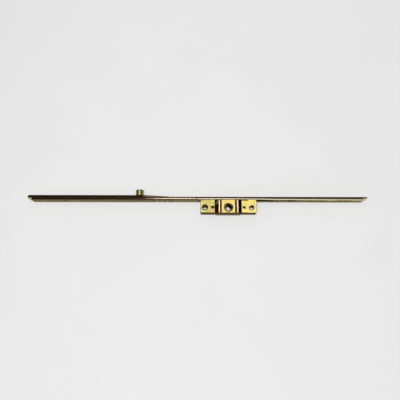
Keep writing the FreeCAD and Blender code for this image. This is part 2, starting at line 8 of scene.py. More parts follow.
import bmesh
import bpy
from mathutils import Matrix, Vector


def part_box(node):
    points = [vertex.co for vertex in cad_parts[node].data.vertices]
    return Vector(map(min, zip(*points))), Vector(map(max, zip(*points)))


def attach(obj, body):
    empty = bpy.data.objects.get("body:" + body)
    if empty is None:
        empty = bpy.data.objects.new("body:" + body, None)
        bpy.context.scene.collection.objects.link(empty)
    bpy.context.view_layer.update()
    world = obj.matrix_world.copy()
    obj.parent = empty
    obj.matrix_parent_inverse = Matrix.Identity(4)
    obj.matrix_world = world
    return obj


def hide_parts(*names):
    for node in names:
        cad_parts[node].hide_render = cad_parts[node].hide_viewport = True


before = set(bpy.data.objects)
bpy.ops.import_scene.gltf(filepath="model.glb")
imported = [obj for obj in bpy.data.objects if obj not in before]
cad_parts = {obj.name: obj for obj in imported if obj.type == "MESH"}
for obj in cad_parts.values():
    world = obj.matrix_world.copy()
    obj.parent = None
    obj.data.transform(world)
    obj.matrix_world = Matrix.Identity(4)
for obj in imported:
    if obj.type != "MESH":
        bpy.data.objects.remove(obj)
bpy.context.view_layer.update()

logging.basicConfig(level=logging.INFO, format="%(message)s")
log = logging.getLogger("espagnolette")

MM = 0.001
SMOOTH_BELOW = math.radians(40)
SAME_POINT = 1e-6

Triple = Tuple[float, float, float]
Colour = Triple
Span = Tuple[float, float]
Plateau = Tuple[float, float, float, float]
Box = Tuple[Vector, Vector]
Socket = bpy.types.NodeSocket
Input = Union[float, Sequence[float], Socket]


class Slot(Enum):
    """The record's material slots, handed along with this script's own pieces but not given to them."""

    CASE = "case"
    RIVETS = "rivets"
    CAM = "cam"


class Body(Enum):
    """The bodies that this script's own pieces ride on."""

    CASE = "case"
    DRIVE = "drive"
    ROLLER = "roller"


class Axis(Enum):
    """The two directions that fasteners point in."""

    ALONG_Y = 1
    ALONG_Z = 2


class Graph:
    """Short ways to add and join the nodes of one node tree."""

    MIX_FACTOR = 0
    MIX_FIRST_COLOUR = 6
    MIX_SECOND_COLOUR = 7
    MIX_COLOUR_RESULT = 2
    NOISE_RANGE = (0.3, 0.7)

    def __init__(self, tree: bpy.types.NodeTree) -> None:
        """Keeps the tree."""
        self.tree = tree

    def add(self, kind: str, **settings: object) -> bpy.types.Node:
        """Adds a node.

        Args:
            kind: The node's type name.
            settings: Properties to set on it.

        Returns:
            The new node.
        """
        node = self.tree.nodes.new(kind)
        for name, value in settings.items():
            setattr(node, name, value)
        return node

    def feed(self, socket: Socket, value: Input) -> None:
        """Links an output to a socket, or sets the socket's own value.

        Args:
            socket: The input to feed.
            value: An output, a number, or a colour or vector, which is filled up with ones.
        """
        if isinstance(value, bpy.types.NodeSocket):
            self.tree.links.new(value, socket)
        elif isinstance(value, (int, float)):
            socket.default_value = value
        else:
            socket.default_value = tuple(value) + (1.0,) * (len(socket.default_value) - len(value))

    def run(
        self,
        kind: str,
        output: Union[int, str],
        inputs: Dict[Union[int, str], Input],
        **settings: object,
    ) -> Socket:
        """Adds a node, feeds it and gives one of its outputs.

        Args:
            kind: The node's type name.
            output: The output's number or name.
            inputs: What goes into each input, by its number or name.
            settings: Properties to set on the node.

        Returns:
            The output.
        """
        node = self.add(kind, **settings)
        for socket, value in inputs.items():
            self.feed(node.inputs[socket], value)
        return node.outputs[output]

    def math(self, operation: str, first: Input, second: Input = 0.0) -> Socket:
        """The result of a Math node."""
        return self.run("ShaderNodeMath", 0, {0: first, 1: second}, operation=operation)

    def outside(self, mask: Input) -> Socket:
        """Where a mask isn't."""
        return self.math("SUBTRACT", 1.0, mask)

    def overlap(self, first: Input, *others: Input) -> Socket:
        """Marks where masks overlap.

        Args:
            first: The first mask.
            others: The other masks, or how strong the result is.

        Returns:
            The mask.
        """
        for other in others:
            first = self.math("MULTIPLY", first, other)
        return first

    def weighted(self, *terms: Tuple[Input, float]) -> Socket:
        """Adds values up, each times its weight.

        Args:
            terms: Each value with its weight.

        Returns:
            The sum.
        """
        first, *others = [self.math("MULTIPLY", value, weight) for value, weight in terms]
        for other in others:
            first = self.math("ADD", first, other)
        return first

    def band(self, value: Input, low: float, high: float, start: float = 0.0, end: float = 1.0) -> Socket:
        """Maps a value smoothly from one range to another.

        Args:
            value: The value to map.
            low: Where the result is start.
            high: Where the result is end.
            start: The result on low's side.
            end: The result on high's side.

        Returns:
            The mapped value.
        """
        ranges = {"From Min": low, "From Max": high, "To Min": start, "To Max": end}
        return self.run(
            "ShaderNodeMapRange", "Result", {"Value": value, **ranges}, interpolation_type="SMOOTHSTEP"
        )

    def fade(self, mask: Input, start: float, end: float) -> Socket:
        """Goes smoothly from start to end where a mask goes from zero to one."""
        return self.band(mask, 0.0, 1.0, start, end)

    def plateau(self, value: Input, rise: float, full: float, hold: float, fall: float) -> Socket:
        """Marks where a value lies between two soft limits.

        Args:
            value: The value.
            rise: Where the mask begins.
            full: Where it has become one.
            hold: Up to where it stays one.
            fall: Where it has become zero again.

        Returns:
            The mask.
        """
        return self.overlap(self.band(value, rise, full), self.band(value, fall, hold))

    def blend(self, factor: Input, first: Input, second: Input, kind: str = "MIX") -> Socket:
        """Mixes two colours.

        Args:
            factor: How much of the second colour shows.
            first: The first colour.
            second: The second colour.
            kind: The mix node's blend type.

        Returns:
            The mixed colour.
        """
        inputs = {self.MIX_FACTOR: factor, self.MIX_FIRST_COLOUR: first, self.MIX_SECOND_COLOUR: second}
        return self.run(
            "ShaderNodeMix", self.MIX_COLOUR_RESULT, inputs, data_type="RGBA", blend_type=kind
        )

    def shaded(self, colour: Input, level: Input) -> Socket:
        """A colour times a level.

        Args:
            colour: The colour.
            level: The level.

        Returns:
            The shaded colour.
        """
        grey = self.run("ShaderNodeCombineXYZ", 0, {0: level, 1: level, 2: level})
        return self.blend(1.0, colour, grey, "MULTIPLY")

    def parts(self, vector: Socket) -> Tuple[Socket, Socket, Socket]:
        """Takes a vector apart.

        Args:
            vector: The vector.

        Returns:
            Its three parts.
        """
        node = self.add("ShaderNodeSeparateXYZ")
        self.feed(node.inputs[0], vector)
        return node.outputs[0], node.outputs[1], node.outputs[2]

    def place(self, stretch: Triple = (1, 1, 1), shift: Triple = (0, 0, 0)) -> Socket:
        """The object's own coordinates, stretched and shifted.

        Args:
            stretch: The factor along each axis.
            shift: What is added along each axis.

        Returns:
            The coordinates.
        """
        own = self.add("ShaderNodeTexCoord").outputs["Object"]
        return self.run("ShaderNodeMapping", "Vector", {"Vector": own, "Scale": stretch, "Location": shift})

    def where(self) -> Tuple[Socket, Socket, Socket]:
        """The three parts of the object's own coordinates."""
        return self.parts(self.place())

    def facing(self) -> Tuple[Socket, Socket, Socket]:
        """The three parts of the surface's direction, in the object's own frame."""
        return self.parts(self.add("ShaderNodeTexCoord").outputs["Normal"])

    def noise(
        self, scale: Input = 1.0, detail: float = 3.0, stretch: Triple = (1, 1, 1), shift: Triple = (0, 0, 0)
    ) -> Socket:
        """Adds soft noise.

        Args:
            scale: Patches per metre, where nothing is stretched.
            detail: How many finer layers it has.
            stretch: The factor along each axis.
            shift: What is added along each axis.

        Returns:
            A value about one half.
        """
        inputs = {"Vector": self.place(stretch, shift), "Scale": scale, "Detail": detail}
        return self.run("ShaderNodeTexNoise", "Fac", inputs)

    def cells(self, scale: float) -> Socket:
        """The distance to the nearest of many scattered points, in their own spacing."""
        return self.run("ShaderNodeTexVoronoi", "Distance", {"Vector": self.place(), "Scale": scale})

    def wandering(self, value: Input, reach: float, stretch: Triple) -> Socket:
        """Lets a value wander up and down over the surface.

        Args:
            value: The value.
            reach: How far it would wander at the noise's full range.
            stretch: The noise's patches per metre along each axis.

        Returns:
            The wandering value.
        """
        away = self.math("SUBTRACT", self.noise(detail=4.0, stretch=stretch), 0.5)
        return self.weighted((value, 1.0), (away, reach))

    def put(self, group: bpy.types.NodeTree, **values: Input) -> Mapping[str, Socket]:
        """Places one of the shared effects.

        Args:
            group: The effect's node group.
            values: Its inputs, with underscores for spaces.

        Returns:
            Its outputs.
        """
        node = self.add("ShaderNodeGroup", node_tree=group)
        for name, value in values.items():
            self.feed(node.inputs[name.replace("_", " ")], value)
        return node.outputs


class Effects:
    """The node groups that several finishes share, each built once."""

    COLOUR = "NodeSocketColor"
    NUMBER = "NodeSocketFloat"
    VECTOR = "NodeSocketVector"

    # Where noise turns into a mask, and how many patches a metre holds, for each axis if it is stretched.
    OLIVE_CLOUDS = (0.45, 0.66)
    ROSE_CLOUDS = (0.5, 0.7)
    FLECKS_PER_METRE = 900.0
    FLECK_SHADES = (0.88, 1.06)
    EDGE_TURN = (0.99, 0.8)
    EDGE_BREAKS = (0.35, 0.6)
    EDGE_BREAKS_PER_METRE = 700.0
    FINE_LINES = (40, 5200, 5200)
    COARSE_LINES = (14, 900, 900)
    PEBBLES_PER_METRE = 1500.0
    PITS_PER_METRE = 900.0
    PIT_SIZE = 0.16
    FLOW_LINES = (180, 420, 300)
    BROAD_SMUDGES = (60, 90, 90)
    SMALL_SMUDGES_PER_METRE = 260.0
    SMUDGE_RANGE = (0.38, 0.62)
    SIDE_FACING = (0.45, 0.85)
    CORNER_SKY = (0.85, 0.4)

    def __init__(self) -> None:
        """Builds every group."""
        self.bloom = self._bloom()
        self.worn_edges = self._worn_edges()
        self.drawn_grain = self._drawn_grain()
        self.cast_skin = self._cast_skin()
        self.smudges = self._smudges()
        self.sheared_sides = self._sheared_sides()
        self.corner_shade = self._corner_shade()

    @staticmethod
    def _group(
        name: str, inputs: Dict[str, Tuple[str, Input]], outputs: Dict[str, str]
    ) -> Tuple[Graph, Mapping[str, Socket], Mapping[str, Socket]]:
        """Starts a group.

        Args:
            name: The group's name.
            inputs: Socket kind and first value for each input's name.
            outputs: Socket kind for each output's name.

        Returns:
            The group's graph, what it is given and what it gives back.
        """
        tree = bpy.data.node_groups.new(name, "ShaderNodeTree")
        for label, (kind, value) in inputs.items():
            socket = tree.interface.new_socket(name=label, in_out="INPUT", socket_type=kind)
            socket.default_value = value
        for label, kind in outputs.items():
            tree.interface.new_socket(name=label, in_out="OUTPUT", socket_type=kind)
        graph = Graph(tree)
        return graph, graph.add("NodeGroupInput").outputs, graph.add("NodeGroupOutput").inputs

    def _bloom(self) -> bpy.types.NodeTree:
        """Cloudy olive and rose patches of yellow passivation.

        Returns:
            The group.
        """
        graph, given, result = self._group(
            "passivation_bloom",
            {
                "Tone": (self.COLOUR, (0.8, 0.65, 0.3, 1.0)),
                "Olive": (self.COLOUR, (0.5, 0.6, 0.2, 1.0)),
                "Rose": (self.COLOUR, (0.8, 0.45, 0.3, 1.0)),
                "Olive Amount": (self.NUMBER, 0.3),
                "Rose Amount": (self.NUMBER, 0.3),
                "Patches per Metre": (self.NUMBER, 90.0),
            },
            {"Color": self.COLOUR},
        )
        size = given["Patches per Metre"]
        olive_cloud = graph.band(graph.noise(size), *self.OLIVE_CLOUDS)
        rose_cloud = graph.band(graph.noise(size, shift=(3.1, 1.7, 0.9)), *self.ROSE_CLOUDS)
        toned = graph.blend(graph.overlap(olive_cloud, given["Olive Amount"]), given["Tone"], given["Olive"])
        toned = graph.blend(graph.overlap(rose_cloud, given["Rose Amount"]), toned, given["Rose"])
        flecks = graph.noise(self.FLECKS_PER_METRE, detail=2.0)
        fleck = graph.band(flecks, *graph.NOISE_RANGE, *self.FLECK_SHADES)
        graph.feed(result["Color"], graph.shaded(toned, fleck))
        return graph.tree

    def _worn_edges(self) -> bpy.types.NodeTree:
        """Rounded normals at edges, and a broken mask of where they are.

        Returns:
            The group.
        """
        graph, given, result = self._group(
            "worn_edges", {"Radius": (self.NUMBER, 0.3 * MM)}, {"Mask": self.NUMBER, "Normal": self.VECTOR}
        )
        rounded = graph.run("ShaderNodeBevel", "Normal", {"Radius": given["Radius"]}, samples=4)
        flat = graph.add("ShaderNodeNewGeometry").outputs["Normal"]
        likeness = graph.run("ShaderNodeVectorMath", "Value", {0: rounded, 1: flat}, operation="DOT_PRODUCT")
        turned = graph.band(likeness, *self.EDGE_TURN)
        broken = graph.band(graph.noise(self.EDGE_BREAKS_PER_METRE), *self.EDGE_BREAKS)
        graph.feed(result["Mask"], graph.overlap(turned, broken))
        graph.feed(result["Normal"], rounded)
        return graph.tree

    def _drawn_grain(self) -> bpy.types.NodeTree:
        """Fine lines along the bar, left by drawing and rolling.

        Returns:
            The group.
        """
        graph, _, result = self._group("drawn_grain", {}, {"Height": self.NUMBER, "Shade": self.NUMBER})
        fine = graph.noise(stretch=self.FINE_LINES)
        coarse = graph.noise(detail=2.0, stretch=self.COARSE_LINES)
        lines = graph.weighted((fine, 0.6), (coarse, 0.4))
        graph.feed(result["Height"], lines)
        graph.feed(result["Shade"], graph.band(lines, *graph.NOISE_RANGE))
        return graph.tree

    def _cast_skin(self) -> bpy.types.NodeTree:
        """The slightly pebbled skin of a zinc casting.

        Returns:
            The group.
        """
        graph, _, result = self._group("cast_skin", {}, {"Height": self.NUMBER, "Shade": self.NUMBER})
        pebble = graph.noise(self.PEBBLES_PER_METRE, detail=4.0)
        flow = graph.noise(stretch=self.FLOW_LINES)
        pits = graph.band(graph.cells(self.PITS_PER_METRE), 0.0, self.PIT_SIZE)
        graph.feed(result["Height"], graph.weighted((pebble, 0.6), (flow, 0.3), (pits, 0.1)))
        graph.feed(result["Shade"], graph.band(flow, *graph.NOISE_RANGE))
        return graph.tree

    def _smudges(self) -> bpy.types.NodeTree:
        """Soft patches where hands and oil have dulled or polished the surface.

        Returns:
            The group.
        """
        graph, _, result = self._group("handling_smudges", {}, {"Mask": self.NUMBER})
        broad = graph.noise(detail=4.0, stretch=self.BROAD_SMUDGES)
        small = graph.noise(self.SMALL_SMUDGES_PER_METRE, shift=(0.4, 0.2, 0.8))
        mixed = graph.weighted((broad, 0.65), (small, 0.35))
        graph.feed(result["Mask"], graph.band(mixed, *self.SMUDGE_RANGE))
        return graph.tree

    def _sheared_sides(self) -> bpy.types.NodeTree:
        """Marks the narrow sides of a strip, which face the handle and the rear.

        Returns:
            The group.
        """
        graph, _, result = self._group("sheared_sides", {}, {"Mask": self.NUMBER})
        across = graph.math("ABSOLUTE", graph.facing()[2])
        graph.feed(result["Mask"], graph.band(across, *self.SIDE_FACING))
        return graph.tree

    def _corner_shade(self) -> bpy.types.NodeTree:
        """Marks inner corners and the depths of holes, where the finishes paint shade.

        Returns:
            The group.
        """
        graph, given, result = self._group(
            "corner_shade", {"Reach": (self.NUMBER, 2.0 * MM)}, {"Mask": self.NUMBER}
        )
        open_sky = graph.run(
            "ShaderNodeAmbientOcclusion", "AO", {"Distance": given["Reach"]}, samples=6, only_local=True
        )
        graph.feed(result["Mask"], graph.band(open_sky, *self.CORNER_SKY))
        return graph.tree


def new_material(name: str) -> Tuple[bpy.types.Material, Graph, bpy.types.Node]:
    """Starts a material with nodes.

    Args:
        name: The material's name.

    Returns:
        The material, its graph and its shader.
    """
    material = bpy.data.materials.new(name)
    material.use_nodes = True
    return material, Graph(material.node_tree), material.node_tree.nodes["Principled BSDF"]


@dataclass(frozen=True)
class Look:
    """What a finish works out for the shader: its colour, where it is coarse, and its relief's height."""

    colour: Socket
    coarse: Socket
    height: Socket


@dataclass(frozen=True, kw_only=True)
class Metal:
    """What every metal finish has: its gloss, how it is worn and rough, and its dirt and painted shade."""

    name: str
    roughness: float
    polished_roughness: float
    coarse_roughness: float = 0.08
    grazing_tint: Colour = (1.0, 1.0, 1.0)
    wear_radius: float = 0.2 * MM
    corner_reach: float
    relief: float
    relief_strength: float

    def material(self, effects: Effects) -> bpy.types.Material:
        """Builds the material.

        Args:
            effects: The shared effects.

        Returns:
            The material.
        """
        material, graph, shader = new_material(self.name)
        shader.inputs["Metallic"].default_value = 1.0
        shader.inputs["Specular Tint"].default_value = (*self.grazing_tint, 1.0)
        wear = graph.put(effects.worn_edges, Radius=self.wear_radius)
        corners = graph.put(effects.corner_shade, Reach=self.corner_reach)["Mask"]
        look = self.look(graph, effects, wear["Mask"], corners)
        smudges = graph.put(effects.smudges)["Mask"]
        gloss = graph.fade(smudges, self.polished_roughness, self.roughness)
        rough = graph.weighted((gloss, 1.0), (look.coarse, self.coarse_roughness))
        relief = {
            "Height": look.height,
            "Distance": self.relief,
            "Strength": self.relief_strength,
            "Normal": wear["Normal"],
        }
        graph.feed(shader.inputs["Base Color"], look.colour)
        graph.feed(shader.inputs["Roughness"], rough)
        graph.feed(shader.inputs["Normal"], graph.run("ShaderNodeBump", "Normal", relief))
        return material

    def look(self, graph: Graph, effects: Effects, wear: Socket, corners: Socket) -> Look:
        """Works out the finish's own colour and relief.

        Args:
            graph: The material's graph.
            effects: The shared effects.
            wear: Where edges are worn.
            corners: Where inner corners and holes get painted shade.

        Returns:
            The look.
        """
        raise NotImplementedError


@dataclass(frozen=True, kw_only=True)
class StripFinish(Metal):
    """Yellow-passivated drawn strip, whose sheared sides take tones of painted shade and highlight, unlike
    its broad faces.
    """

    tone: Colour
    side_tone: Colour
    olive: Colour = (0.36, 0.42, 0.2)
    rose: Colour = (0.72, 0.4, 0.26)
    olive_amount: float = 0.5
    rose_amount: float = 0.35
    # Dark colour of the dirt streaks on the sides and of the painted shade in inner corners.
    grime_and_shade: Colour = (0.008, 0.004, 0.002)
    side_streaks: float = 0.2
    side_wear: float = 0.35
    side_change: Span = (0.0, 0.0)
    changed_side_tone: Colour = (0.0, 0.0, 0.0)
    slot_heights: Plateau = (1.6 * MM, 2.0 * MM, 14.0 * MM, 14.4 * MM)
    corner_reach: float = 1.2 * MM
    relief: float = 0.02 * MM
    relief_strength: float = 0.5

    def look(self, graph: Graph, effects: Effects, wear: Socket, corners: Socket) -> Look:
        """Bloom on the broad faces, painted tones and streaks on the sheared sides, and painted shade in the
        corners.

        Args:
            graph: The material's graph.
            effects: The shared effects.
            wear: Where edges are worn.
            corners: Where inner corners and holes get painted shade.

        Returns:
            The look.
        """
        grain = graph.put(effects.drawn_grain)
        bloom = graph.put(
            effects.bloom,
            Tone=self.tone,
            Olive=self.olive,
            Rose=self.rose,
            Olive_Amount=self.olive_amount,
            Rose_Amount=self.rose_amount,
        )
        sides = graph.put(effects.sheared_sides)["Mask"]
        streaks = graph.fade(grain["Shade"], 0.0, self.side_streaks)
        side = graph.blend(streaks, self._side_colour(graph), self.grime_and_shade)
        colour = graph.blend(sides, bloom["Color"], side)
        bright = graph.overlap(wear, graph.fade(sides, self.side_wear, 0.0))
        colour = graph.blend(bright, colour, self.tone)
        colour = self.face_colour(graph, graph.outside(sides), colour)
        # Inner corners take painted shade.
        return Look(graph.blend(corners, colour, self.grime_and_shade), grain["Shade"], grain["Height"])

    def _side_colour(self, graph: Graph) -> Socket:
        """The sheared side in its painted tone, with another tone towards one end, and the strip's tone
        inside slots.

        Args:
            graph: The material's graph.

        Returns:
            The side's colour.
        """
        along, height, across = graph.where()
        side = self.side_line(graph, along, height)
        if any(self.side_change):
            side = graph.blend(graph.band(along, *self.side_change), side, self.changed_side_tone)
        return graph.blend(graph.plateau(across, *self.slot_heights), side, self.tone)

    def side_line(self, graph: Graph, along: Socket, height: Socket) -> Input:
        """The sheared side's own colour."""
        return self.side_tone

    def face_colour(self, graph: Graph, faces: Socket, colour: Socket) -> Socket:
        """The colour with what else marks the broad faces."""
        return colour


@dataclass(frozen=True, kw_only=True)
class RodFinish(StripFinish):
    """The drive rods' strip: a burnished line with painted sheen on its side, a painted shadow line and a
    painted highlight along its front edge.
    """

    roughness: float = 0.4
    polished_roughness: float = 0.34
    olive: Colour = (0.3, 0.33, 0.16)
    rose: Colour = (0.5, 0.3, 0.2)
    front: float
    # A burnished line with painted sheen on the side; around it the side is dark, as fracture zone and as
    # painted shade.
    burnished_sheen_along: Span = (0.0, 90 * MM)
    burnished_sheen_place: Span
    burnished_sheen_reach: Span
    burnished_sheen_softness: float = 0.1 * MM
    torn_and_shaded_tone: Colour = (0.02, 0.01, 0.003)
    sheen_line_wander: float = 0.3 * MM
    sheen_line_patches: Triple = (120, 60, 60)
    # A painted shadow line along the broad faces' front edge.
    edge_shadow: Colour = (0.05, 0.03, 0.012)
    edge_shadow_amount: float = 0.85
    edge_shadow_width: float = 1.5 * MM
    edge_shadow_wider: float = 0.0
    edge_shadow_along: Span = (35 * MM, 90 * MM)
    edge_shadow_widens: float = 5 * MM
    edge_shadow_fades: float = 8 * MM
    edge_shadow_softness: float = 0.3 * MM
    edge_shadow_wander: float = 2.0 * MM
    edge_shadow_patches: Triple = (150, 60, 60)
    # A painted highlight along the broad faces' front edge.
    bright_width: Span = (0.0, 0.0)
    bright_near: Span = (35 * MM, 75 * MM)
    bright_far: Span = (95 * MM, 155 * MM)
    bright_edge: float = 0.4 * MM

    def side_line(self, graph: Graph, along: Socket, height: Socket) -> Input:
        """A burnished line with painted sheen, between darker edges that are fracture zone and painted shade,
        which changes its place and width along the rod.

        Args:
            graph: The material's graph.
            along: The place along the bar.
            height: The place across the rod's thickness.

        Returns:
            The side's colour.
        """
        # Painted sheen on the burnished line, and painted shade on the dark edges around it.
        line = graph.wandering(height, self.sheen_line_wander, self.sheen_line_patches)
        middle = graph.band(along, *self.burnished_sheen_along, *self.burnished_sheen_place)
        away = graph.math("ABSOLUTE", graph.math("SUBTRACT", line, middle))
        beyond = graph.math("SUBTRACT", away, graph.band(along, *self.burnished_sheen_along, *self.burnished_sheen_reach))
        torn_and_shaded = graph.band(beyond, -self.burnished_sheen_softness, self.burnished_sheen_softness)
        return graph.blend(torn_and_shaded, self.side_tone, self.torn_and_shaded_tone)

    def face_colour(self, graph: Graph, faces: Socket, colour: Socket) -> Socket:
        """Puts a painted shadow line on the broad faces, and a painted highlight along the front edge.

        Args:
            graph: The material's graph.
            faces: Where the broad faces are.
            colour: The colour so far.

        Returns:
            The colour.
        """
        # A painted shadow line, then a painted highlight on the front edge.
        colour = graph.blend(graph.overlap(faces, self._edge_shadow_mask(graph)), colour, self.edge_shadow)
        if any(self.bright_width):
            colour = graph.blend(graph.overlap(faces, self._front_sheen(graph)), colour, self.side_tone)
        return colour

    def _edge_shadow_mask(self, graph: Graph) -> Socket:
        """Marks the painted shadow line along the front edge, wider beside the gear case.

        Args:
            graph: The material's graph.

        Returns:
            The mask.
        """
        along, _, height = graph.where()
        start, end = self.edge_shadow_along
        line = graph.wandering(height, self.edge_shadow_wander, self.edge_shadow_patches)
        widened = graph.band(along, start - self.edge_shadow_widens, start, 0.0, self.edge_shadow_wider)
        low = self.front - self.edge_shadow_width
        shadowed_line = graph.band(graph.math("ADD", line, widened), low - self.edge_shadow_softness, low + self.edge_shadow_softness)
        ended = graph.band(along, end + self.edge_shadow_fades, end)
        return graph.overlap(shadowed_line, ended, self.edge_shadow_amount)

    def _front_sheen(self, graph: Graph) -> Socket:
        """Marks the painted highlight along the front edge, wider towards the right end.

        Args:
            graph: The material's graph.

        Returns:
            The mask.
        """
        along, _, height = graph.where()
        narrow, wide = self.bright_width
        near = graph.band(along, *self.bright_near, 0.0, narrow)
        far = graph.band(along, *self.bright_far, 0.0, wide - narrow)
        behind = graph.math("SUBTRACT", self.front, height)
        left_over = graph.math("SUBTRACT", graph.math("ADD", near, far), behind)
        return graph.band(left_over, 0.0, self.bright_edge)


@dataclass(frozen=True, kw_only=True)
class CastFinish(Metal):
    """Yellow-passivated zinc casting: bright where the front is worn, with painted light and shade in its
    recesses, ribs, holes and underside.

    Places are counted along the bar and upwards from the spindle, and depths from the front.
    """

    left_tone: Colour
    middle_tone: Colour
    right_tone: Colour
    olive: Colour
    left_rose: Colour
    # Painted highlight on the ribs.
    rib_highlight_tone: Colour
    # Painted shade in the recesses, the left groove, the left rib's outer part, the left wing's inner edge
    # and the right wing's top.
    recess_shade_tone: Colour
    left_groove_shade_tone: Colour
    # Painted light at the upper end of the left recess.
    left_recess_light_tone: Colour
    # Painted shade in the screw holes' cones, and painted light on the right one.
    cone_shade_tone: Colour
    right_cone_lit_tone: Colour
    # Painted shade on the downward walls, darkest at the front.
    underside_shade_front: Colour
    underside_shade_rear: Colour
    # Dark colour of the dirt streaks in the skin and of the painted shade in inner corners and holes.
    grime_and_shade: Colour
    front: float
    block_reach: float = 9.1 * MM
    rib_near: float = 11.6 * MM
    rib_far: float = 13.6 * MM
    left_rib_end: float = 13.0 * MM
    side_reach: float = 19.0 * MM
    edge: float = 0.2 * MM
    wall_shade: float = 0.72
    streaks: float = 0.12
    wear_amount: float = 0.4
    left_olive_amount: float = 0.7
    rose_amounts: Span = (0.12, 0.6)
    patches_per_metre: float = 130.0
    rose_corner_along: Plateau = (-28.0 * MM, -24.0 * MM, -18.0 * MM, -17.0 * MM)
    rose_corner_up: Span = (0.5 * MM, -2.5 * MM)
    rose_corner_amount: float = 0.8
    left_wing_start: Span = (-17.1 * MM, -16.6 * MM)
    # Where the right wing's top takes painted shade.
    wing_top_shade_along: Plateau = (16.6 * MM, 17.1 * MM, 26.6 * MM, 27.6 * MM)
    wing_top_shade_up: Span = (9.1 * MM, 9.5 * MM)
    front_facing: Span = (0.75, 0.9)
    recess_depth: Span = (0.6 * MM, 1.4 * MM)
    left_recess_up: Span = (6.8 * MM, 7.4 * MM)
    left_recess_floor: Span = (10.5 * MM, 11.0 * MM)
    underside_depth: Span = (2.0 * MM, 11.0 * MM)
    underside_up: Span = (-5.5 * MM, -7.0 * MM)
    underside_facing: Span = (-0.5, -0.85)
    cone_facing: Plateau = (0.45, 0.6, 0.8, 0.9)
    cone_away: Span = (26.0 * MM, 27.0 * MM)
    cone_depth: Span = (2.2 * MM, 1.8 * MM)
    cone_inner_depth: Span = (0.9 * MM, 1.2 * MM)
    cone_change: Span = (-1.0 * MM, 1.0 * MM)
    wear_radius: float = 0.3 * MM
    corner_reach: float = 7.0 * MM
    relief: float = 0.05 * MM
    relief_strength: float = 0.6

    def look(self, graph: Graph, effects: Effects, wear: Socket, corners: Socket) -> Look:
        """Puts walls, front, wear and holes together.

        Args:
            graph: The material's graph.
            effects: The shared effects.
            wear: Where edges are worn.
            corners: Where inner corners and holes get painted shade.

        Returns:
            The look.
        """
        skin = graph.put(effects.cast_skin)
        yellow = self._yellow(graph, effects)
        walls = self._underside(graph, graph.shaded(yellow, self.wall_shade))
        towards_handle = graph.band(graph.facing()[2], *self.front_facing)
        colour = graph.blend(towards_handle, walls, self._front_colour(graph, yellow))
        streaks = graph.fade(skin["Shade"], 0.0, self.streaks)
        colour = graph.blend(streaks, colour, self.grime_and_shade)
        bright = graph.overlap(wear, graph.band(corners, 0.0, 0.5, self.wear_amount, 0.0))
        # Inner corners and holes take painted shade.
        colour = graph.blend(corners, graph.blend(bright, colour, yellow), self.grime_and_shade)
        colour = self._left_recess(graph, self._countersinks(graph, colour))
        return Look(colour, skin["Shade"], skin["Height"])

    def _where(self, graph: Graph) -> Tuple[Socket, Socket, Socket]:
        """The place along the bar and up from the spindle, and the depth behind the front.

        Args:
            graph: The material's graph.

        Returns:
            The two places and the depth.
        """
        along, up, height = graph.where()
        return along, up, graph.math("SUBTRACT", self.front, height)

    def _yellow(self, graph: Graph, effects: Effects) -> Socket:
        """The passivation: greener at the left end, paler at the right, rose in the left lower corner.

        Args:
            graph: The material's graph.
            effects: The shared effects.

        Returns:
            The colour.
        """
        along, up, _ = self._where(graph)
        middle = graph.band(along, -self.side_reach, -self.rib_near)
        right = graph.band(along, self.rib_near, self.side_reach)
        left = graph.band(along, self.rib_near, -self.side_reach)
        tone = graph.blend(middle, self.left_tone, self.middle_tone)
        bloom = graph.put(
            effects.bloom,
            Tone=graph.blend(right, tone, self.right_tone),
            Olive=self.olive,
            Rose=self.left_rose,
            Olive_Amount=graph.overlap(left, self.left_olive_amount),
            Rose_Amount=graph.fade(left, *self.rose_amounts),
            Patches_per_Metre=self.patches_per_metre,
        )
        corner = graph.overlap(
            graph.band(up, *self.rose_corner_up),
            graph.plateau(along, *self.rose_corner_along),
            self.rose_corner_amount,
        )
        return graph.blend(corner, bloom["Color"], self.left_rose)

    def _front_colour(self, graph: Graph, yellow: Socket) -> Socket:
        """Faces towards the handle: worn front, ribs with a painted highlight, and painted shade in the
        recesses and on darkened edges.

        Args:
            graph: The material's graph.
            yellow: The passivation's colour.

        Returns:
            The colour.
        """
        along, up, depth = self._where(graph)
        away = graph.math("ABSOLUTE", along)
        edge = self.edge
        full_rib = graph.plateau(away, self.rib_near - edge, self.rib_near, self.rib_far, self.rib_far + edge)
        rib = graph.overlap(full_rib, graph.band(along, -self.left_rib_end - edge, -self.left_rib_end))
        # Painted shade on the left rib's outer part, the left wing's inner edge and the right wing's top.
        rib_shade = graph.plateau(
            along, -self.rib_far - edge, -self.rib_far, -self.left_rib_end - edge, -self.left_rib_end
        )
        wing_edge_shade = graph.plateau(along, -self.side_reach, -self.side_reach + edge, *self.left_wing_start)
        upper = graph.band(up, *self.wing_top_shade_up)
        wing_top_shade = graph.overlap(upper, graph.plateau(along, *self.wing_top_shade_along))
        # Painted highlight on the ribs.
        raised = graph.blend(rib, yellow, self.rib_highlight_tone)
        raised = graph.blend(rib_shade, raised, self.left_groove_shade_tone)
        raised = graph.blend(wing_edge_shade, raised, self.recess_shade_tone)
        raised = graph.blend(wing_top_shade, raised, self.left_groove_shade_tone)
        # Painted shade in the recesses, browner in the left groove.
        left_groove = graph.plateau(
            along, -self.rib_near - edge, -self.rib_near, -self.block_reach, -self.block_reach + edge
        )
        recess = graph.blend(left_groove, self.recess_shade_tone, self.left_groove_shade_tone)
        return graph.blend(graph.band(depth, *self.recess_depth), raised, recess)

    def _underside(self, graph: Graph, walls: Socket) -> Socket:
        """Puts painted shade on the walls' underside, lighter towards the rear.

        Args:
            graph: The material's graph.
            walls: The walls' colour.

        Returns:
            The colour.
        """
        _, up, depth = self._where(graph)
